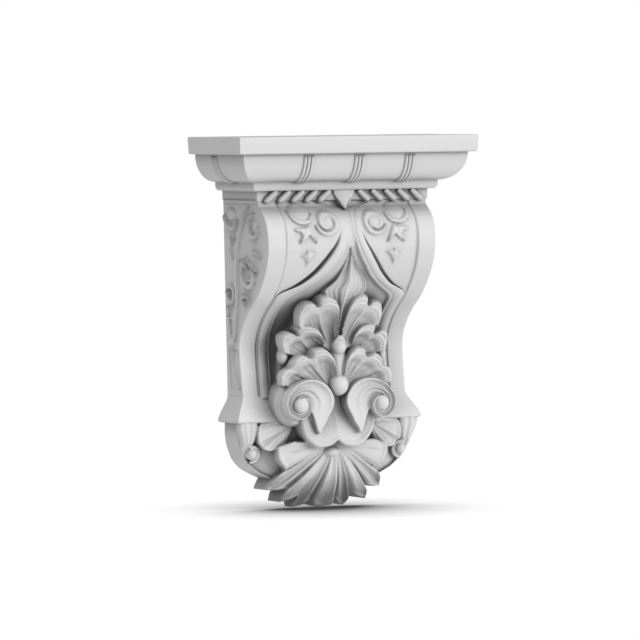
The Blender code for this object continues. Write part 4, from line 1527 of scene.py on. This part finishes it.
@dataclass
class HangingLeaf(CastPiece):
    """The bib under the scrolls, the drop below it and the leaf that hangs to the tip.

    Attributes:
        root: where the leaf's ribs meet, on the sheet.
        leaf_lip: how high the leaf's lip stands, in millimetres.
        leaf_back: how far out of the wall its back lies, in metres.
        bib_root: the middle of the bib's top, on the sheet.
        bib_lip: how high the bib's lip stands, in millimetres.
        bib_back: how far out of the wall its back lies, in metres.
        drop_radii: half the drop's width, depth and height, in metres.
    """

    voxel: float = 0.00062
    root: tuple[float, float] = (0.0, 284.0)
    leaf_lip: float = 1.2
    leaf_back: float = 0.0003
    bib_root: tuple[float, float] = (0.0, 238.0)
    bib_lip: float = 1.1
    bib_back: float = 0.010
    drop_radii: tuple[float, float, float] = (0.0085, 0.0085, 0.0054)

    NAME = "hanging_leaf"
    # The left half of the bib's edge, as x and level.
    BIB = (
        (-40, 258), (-38.5, 268), (-35.5, 277), (-29, 284.5), (-19, 289.6), (-9, 288.6), (-3, 285.6),
        (0, 283.5),
    )
    # The left half of the leaf's edge: x, level, crown (1) or fold (0), and the lobe's height.
    LOBES = (
        (-40, 283, 0.0, 1), (-48, 285.5, 0.5, 1), (-57.5, 289.5, 1, 1), (-57, 297, 0.7, 1),
        (-53, 304, 0.35, 1), (-47.2, 309.4, 0.0, 1), (-47.0, 310.6, 0.0, -3), (-53, 316, 0.4, -3),
        (-58, 323, 0.7, -3),
        (-60.5, 329, 1.0, -3), (-53, 329.5, 0.6, -3), (-42.4, 328.4, 0.0, -3), (-41.2, 328.8, 0.0, 1),
        (-44, 334.5, 0.5, 1), (-45.5, 341.0, 1.0, 1), (-38, 339.5, 0.6, 1), (-28.6, 335.4, 0.0, 1),
        (-27.4, 336.0, 0.0, -3), (-28.5, 341.5, 0.5, -3), (-27, 347.0, 1.0, -3), (-20, 345.0, 0.6, -3),
        (-12.4, 340.2, 0.0, -3), (-11.4, 340.8, 0.0, 2), (-9, 345.4, 0.5, 2), (-4, 346.4, 0.8, 2),
        (0, 347.6, 1.0, 2),
    )

    def bib(self) -> Form:
        """Makes the bib.

        Returns:
            The bib, with its two scallops and a thin lip.
        """
        share = np.linspace(0, 1, 40)[:, None]
        x, h = towards(self.bib_root, whole_rim(self.BIB, 161), share)
        lip = self.bib_lip * bump(share, 0.955, 0.06)
        depth = 49.5 + 8.0 * ease((share - 0.2) / 0.75) + lip - 1.3 * ease((share - 0.965) / 0.035)
        return patch(self.sheet.place(x, h, depth), self.bib_back)

    def leaf(self) -> Form:
        """Makes the hanging leaf.

        Returns:
            The leaf, with a fold for each lobe and paired grooves along its middle.
        """
        rim = whole_rim(self.LOBES, 521)
        crown = rim[:, 2][None]
        level = rim[:, 3][None]
        share = np.linspace(0, 1, 90)[:, None]
        x, h = towards(self.root, rim, share)
        base = smooth([278, 292, 305, 318, 330, 340, 348], [49, 48, 46, 41, 33.5, 25, 18], h)
        wide = 5.0 * (np.abs(x) / 60) ** 2
        middle = 3.8 * bump(level, 1, 1.5) - 2.4
        ridges = 2.0 * bump(crown, 0.5, 0.55) - 1.8 * ease(1 - crown / 0.14)
        ridges = ridges + middle * bump(crown, 1.0, 0.55)
        lines = -1.3 * bump(crown, 0.74, 0.09) * bump(share, 0.70, 0.30)
        fold = (ridges + lines + 0.9 * level) * ease(share * 1.2)
        lip = self.leaf_lip * bump(share, 0.975, 0.06)
        return patch(self.sheet.place(x, h, base - wide + fold + lip), self.leaf_back)

    def drop(self) -> Form:
        """The small drop under the bib."""
        return ball(self.sheet.place(-2.5, 294.0, 45.0), self.drop_radii)

    def forms(self) -> list[Form]:
        """The bib, the leaf and the drop."""
        return [self.bib(), self.leaf(), self.drop()]


@dataclass
class CornerLeaves(CastPiece):
    """The leaf, arm and curled tip on each front corner of the bowl.

    Attributes:
        curl: the curled tip on the left, on the sheet.
        curl_radius: its radius, in millimetres.
        leaf_root: where the leaf's ribs meet, on the sheet.
        leaf_rib: how high its ribs stand, in millimetres.
        leaf_back: how far out of the wall its back lies, in metres.
        arm_dome: how far the arm's middle swells, in millimetres.
        arm_back: how far out of the wall its back lies, in metres.
    """

    kept: float = 0.80
    curl: tuple[float, float] = (-78.0, 294.0)
    curl_radius: float = 6.0
    leaf_root: tuple[float, float] = (-38.0, 266.0)
    leaf_rib: float = 0.9
    leaf_back: float = 0.018
    arm_dome: float = 4.6
    arm_back: float = 0.020

    NAME = "corner_leaves"
    # The leaf's edge: x, level, and crown (1) or notch (0).
    RIM = (
        (-43, 281, 0.2), (-49, 286.5, 0.8), (-56, 290.5, 1), (-63, 292, 0.9), (-68.5, 290.3, 0.7),
        (-71.5, 287, 0.2), (-75, 283.5, 0.9), (-75.5, 276, 1), (-74.5, 270, 0.7), (-70, 263, 0.2),
    )
    # The arm's x, level, depth and half-width.
    ARM = (
        (-84.5, 263, 38, 10.5), (-84.5, 269, 38, 10.2), (-83.8, 276, 37, 9.0), (-83.2, 283, 35, 6.8),
        (-84.6, 289, 32, 4.2), (-84.8, 295, 29.5, 2.2), (-82.3, 301, 28.0, 1.4),
        (-77.3, 306.8, 27.3, 1.2),
    )

    def leaf(self) -> Form:
        """Makes the ribbed leaf.

        Returns:
            The leaf.
        """
        rim = through(self.RIM, 161)
        share = np.linspace(0, 1, 56)[:, None]
        x, h = towards(self.leaf_root, rim, share)
        crown = rim[:, 2][None]
        waves = np.abs(np.sin(pi * 5.5 * np.linspace(0, 1, 161)))[None]
        ribs = self.leaf_rib * waves * bump(share, 0.6, 0.45)
        depth = 43.5 - 4.5 * share + 3.5 * (crown - 0.5) * share + ribs + 0.9 * bump(share, 0.96, 0.07)
        return patch(self.sheet.place(x, h, depth), self.leaf_back)

    def arm(self) -> Form:
        """Runs the arm from the belt past the curl and down the bowl's edge.

        Returns:
            The arm.
        """
        line = through(self.ARM, 70)
        x, h, depth, wide = line.T[:, :, None]
        share = np.linspace(-1, 1, 31)[None]
        dome = self.arm_dome * np.sqrt(np.clip(1 - share ** 2, 0, 1)) * np.clip(wide / 6, 0.25, 1)
        groove = (1.3 * bump(share, 0.10, 0.34) + 0.6 * bump(share, -0.5, 0.24)) * ease(wide / 6)
        points = self.sheet.place(x + wide * share, h, depth + dome - groove - 1)
        return patch(points, self.arm_back, self.sheet.place(-78, 276, 20), 0.35)

    def curled_tip(self) -> list[Form]:
        """Makes the curled tip.

        Returns:
            The round curl and the hook that turns into it.
        """
        radius = self.curl_radius * self.sheet.unit
        hook = spiral(self.curl, 100, -0.62, 8.4, 5.5)
        path = self.sheet.place(hook[:, 0], hook[:, 1], np.linspace(30.5, 33.5, len(hook)))
        widths = self.sheet.unit * np.linspace(1.5, 2.4, len(hook))
        return [ball(self.sheet.place(*self.curl, 31.0), (radius, 0.0065, radius)), tube(path, widths)]

    def forms(self) -> list[Form]:
        """The leaf, arm and curled tip on both sides."""
        return both_sides([self.leaf(), self.arm()] + self.curled_tip())


@dataclass(frozen=True)
class Studio:
    """Floor, lights and the camera at the photograph's angle.

    Attributes:
        floor_h: how far below the slab's top the floor lies, in millimetres.
        target: what the camera looks at, in metres.
        distance: from the camera to that point.
        turn: how far the camera stands to the left of the front, in degrees.
        rise: how far it stands above the level.
        roll: how far it leans.
        lens: its focal length, in millimetres.
        sky: strength of the even light.
        key: strength of the broad light from the front right.
        key_rise: how high that light stands, in degrees.
        key_turn: how far it stands to the right of the front, in degrees.
        top: strength of the high light.
        top_rise: how high it stands, in degrees.
        top_turn: how far it stands to the right of the front, in degrees.
        spread: how wide both lights are seen, in degrees.
        floor_tone: the floor's tone for the light that it throws back.
        floor_glow: the light that it gives besides.
        contact_reach: how far round the corbel a contact shadow is painted on the floor for the camera, in
            metres.
        contact_least: the share of open air at which that painted shadow is darkest.
        contact_shade: how bright the floor is under the darkest painted shadow.
        paper_most: the share of open air from which the floor is white, free of painted shadow.
        paper_white: how bright it is there.
        floor_half: half the floor's width, in metres.
        sensor: width of the camera's sensor, in millimetres.
        far: how far the camera sees, in metres.
    """

    floor_h: float = 348.6
    target: tuple[float, float, float] = (-0.01964, -0.060, 0.0032)
    distance: float = 5.5643
    turn: float = 27.93
    rise: float = 2.17
    roll: float = 0.539
    lens: float = 337.5
    sky: float = 0.22
    key: float = 1.80
    key_rise: float = 14.0
    key_turn: float = 34.0
    top: float = 1.0
    top_rise: float = 62.0
    top_turn: float = -60.0
    spread: float = 36.0
    floor_tone: float = 0.55
    floor_glow: float = 0.26
    contact_reach: float = 0.18
    contact_least: float = 0.40
    contact_shade: float = 0.06
    paper_most: float = 0.93
    paper_white: float = 1.02
    floor_half: float = 6.0
    sensor: float = 36.0
    far: float = 60.0

    def floor(self, sheet: Sheet) -> None:
        """Lays a flat white floor, with a contact shadow painted on it for the camera round the corbel's
        foot.

        Args:
            sheet: places the floor in the frame.
        """
        bm = bmesh.new()
        bmesh.ops.create_grid(bm, x_segments=1, y_segments=1, size=self.floor_half)
        height = float(sheet.place(0, self.floor_h, 0)[2])
        bmesh.ops.translate(bm, verts=bm.verts, vec=Vector((0, 0, height)))
        mesh = bpy.data.meshes.new("floor")
        bm.to_mesh(mesh)
        bm.free()
        floor = bpy.data.objects.new("floor", mesh)
        bpy.context.scene.collection.objects.link(floor)
        material = bpy.data.materials.new("floor")
        material.use_nodes = True
        nodes, links = material.node_tree.nodes, material.node_tree.links
        shader = nodes["Principled BSDF"]
        shader.inputs["Base Color"].default_value = (self.floor_tone, self.floor_tone, self.floor_tone, 1)
        shader.inputs["Roughness"].default_value = 0.9
        shader.inputs["Specular IOR Level"].default_value = 0.0
        shader.inputs["Emission Color"].default_value = (1, 1, 1, 1)
        shader.inputs["Emission Strength"].default_value = self.floor_glow
        # Painted shadow: for the camera, the floor's glow is dimmed where ambient occlusion finds the
        # corbel near.
        contact = nodes.new("ShaderNodeAmbientOcclusion")
        contact.inputs["Distance"].default_value = self.contact_reach
        shade = nodes.new("ShaderNodeMapRange")
        shade.inputs["From Min"].default_value = self.contact_least
        shade.inputs["From Max"].default_value = self.paper_most
        shade.inputs["To Min"].default_value = self.contact_shade
        shade.inputs["To Max"].default_value = self.paper_white
        painted_shadow_floor = nodes.new("ShaderNodeEmission")
        ray = nodes.new("ShaderNodeLightPath")
        mix = nodes.new("ShaderNodeMixShader")
        links.new(contact.outputs["AO"], shade.inputs["Value"])
        links.new(shade.outputs["Result"], painted_shadow_floor.inputs["Strength"])
        links.new(ray.outputs["Is Camera Ray"], mix.inputs["Fac"])
        links.new(shader.outputs["BSDF"], mix.inputs[1])
        links.new(painted_shadow_floor.outputs["Emission"], mix.inputs[2])
        links.new(mix.outputs["Shader"], nodes["Material Output"].inputs["Surface"])
        floor.data.materials.append(material)

    def broad(self, name: str, strength: float, rise: float, turn: float) -> None:
        """Sets a broad soft light that is equally strong everywhere.

        Args:
            name: the light's name.
            strength: how strong it is.
            rise: how high it stands, in degrees.
            turn: how far it stands to the right of the front, in degrees.
        """
        light = bpy.data.lights.new(name, "SUN")
        light.energy = strength
        light.angle = radians(self.spread)
        lamp = bpy.data.objects.new(name, light)
        lamp.rotation_euler = (radians(90 - rise), 0, radians(turn))
        bpy.context.scene.collection.objects.link(lamp)

    def lights(self) -> None:
        """Sets an even sky, a low light from the front right and a high one from the left."""
        world = bpy.data.worlds.new("studio")
        world.use_nodes = True
        nodes, links = world.node_tree.nodes, world.node_tree.links
        sky = nodes["Background"]
        sky.inputs["Color"].default_value = (1, 1, 1, 1)
        sky.inputs["Strength"].default_value = self.sky
        seen = nodes.new("ShaderNodeBackground")
        seen.inputs["Color"].default_value = (1, 1, 1, 1)
        seen.inputs["Strength"].default_value = 1.0
        ray = nodes.new("ShaderNodeLightPath")
        mix = nodes.new("ShaderNodeMixShader")
        links.new(ray.outputs["Is Camera Ray"], mix.inputs["Fac"])
        links.new(sky.outputs["Background"], mix.inputs[1])
        links.new(seen.outputs["Background"], mix.inputs[2])
        links.new(mix.outputs["Shader"], nodes["World Output"].inputs["Surface"])
        bpy.context.scene.world = world
        self.broad("key", self.key, self.key_rise, self.key_turn)
        self.broad("top", self.top, self.top_rise, self.top_turn)

    def camera(self) -> None:
        """Places the camera where the photograph was taken."""
        yaw, pitch = radians(self.turn), radians(self.rise)
        back = Vector((-sin(yaw) * cos(pitch), -cos(yaw) * cos(pitch), sin(pitch)))
        data = bpy.data.cameras.new("camera")
        data.lens = self.lens
        data.sensor_width = self.sensor
        data.clip_end = self.far
        camera = bpy.data.objects.new("camera", data)
        camera.location = Vector(self.target) + back * self.distance
        look = (-back).to_track_quat("-Z", "Y")
        camera.rotation_mode = "QUATERNION"
        camera.rotation_quaternion = look @ Euler((0, 0, radians(-self.roll))).to_quaternion()
        bpy.context.scene.collection.objects.link(camera)
        bpy.context.scene.camera = camera

    def build(self, sheet: Sheet) -> None:
        """Makes the whole studio.

        Args:
            sheet: places the floor in the frame.
        """
        self.floor(sheet)
        self.lights()
        self.camera()
        bpy.context.scene.view_settings.view_transform = "Standard"


def main() -> None:
    """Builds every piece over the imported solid, then the studio."""
    logging.basicConfig(level=logging.INFO, format="%(name)s %(message)s")
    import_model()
    sheet = Sheet(top=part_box(NODE)[1].z)
    skin = PrimedSkin().material()
    pieces = [Cornice, ConsoleBody, BeltAndBowl, LeafSpray, Scrolls, HangingLeaf, CornerLeaves]
    for kind in pieces:
        piece = kind(sheet=sheet, skin=skin).build()
        LOG.info("built %s", piece.name)
    Studio().build(sheet)


if __name__ == "__main__":
    main()
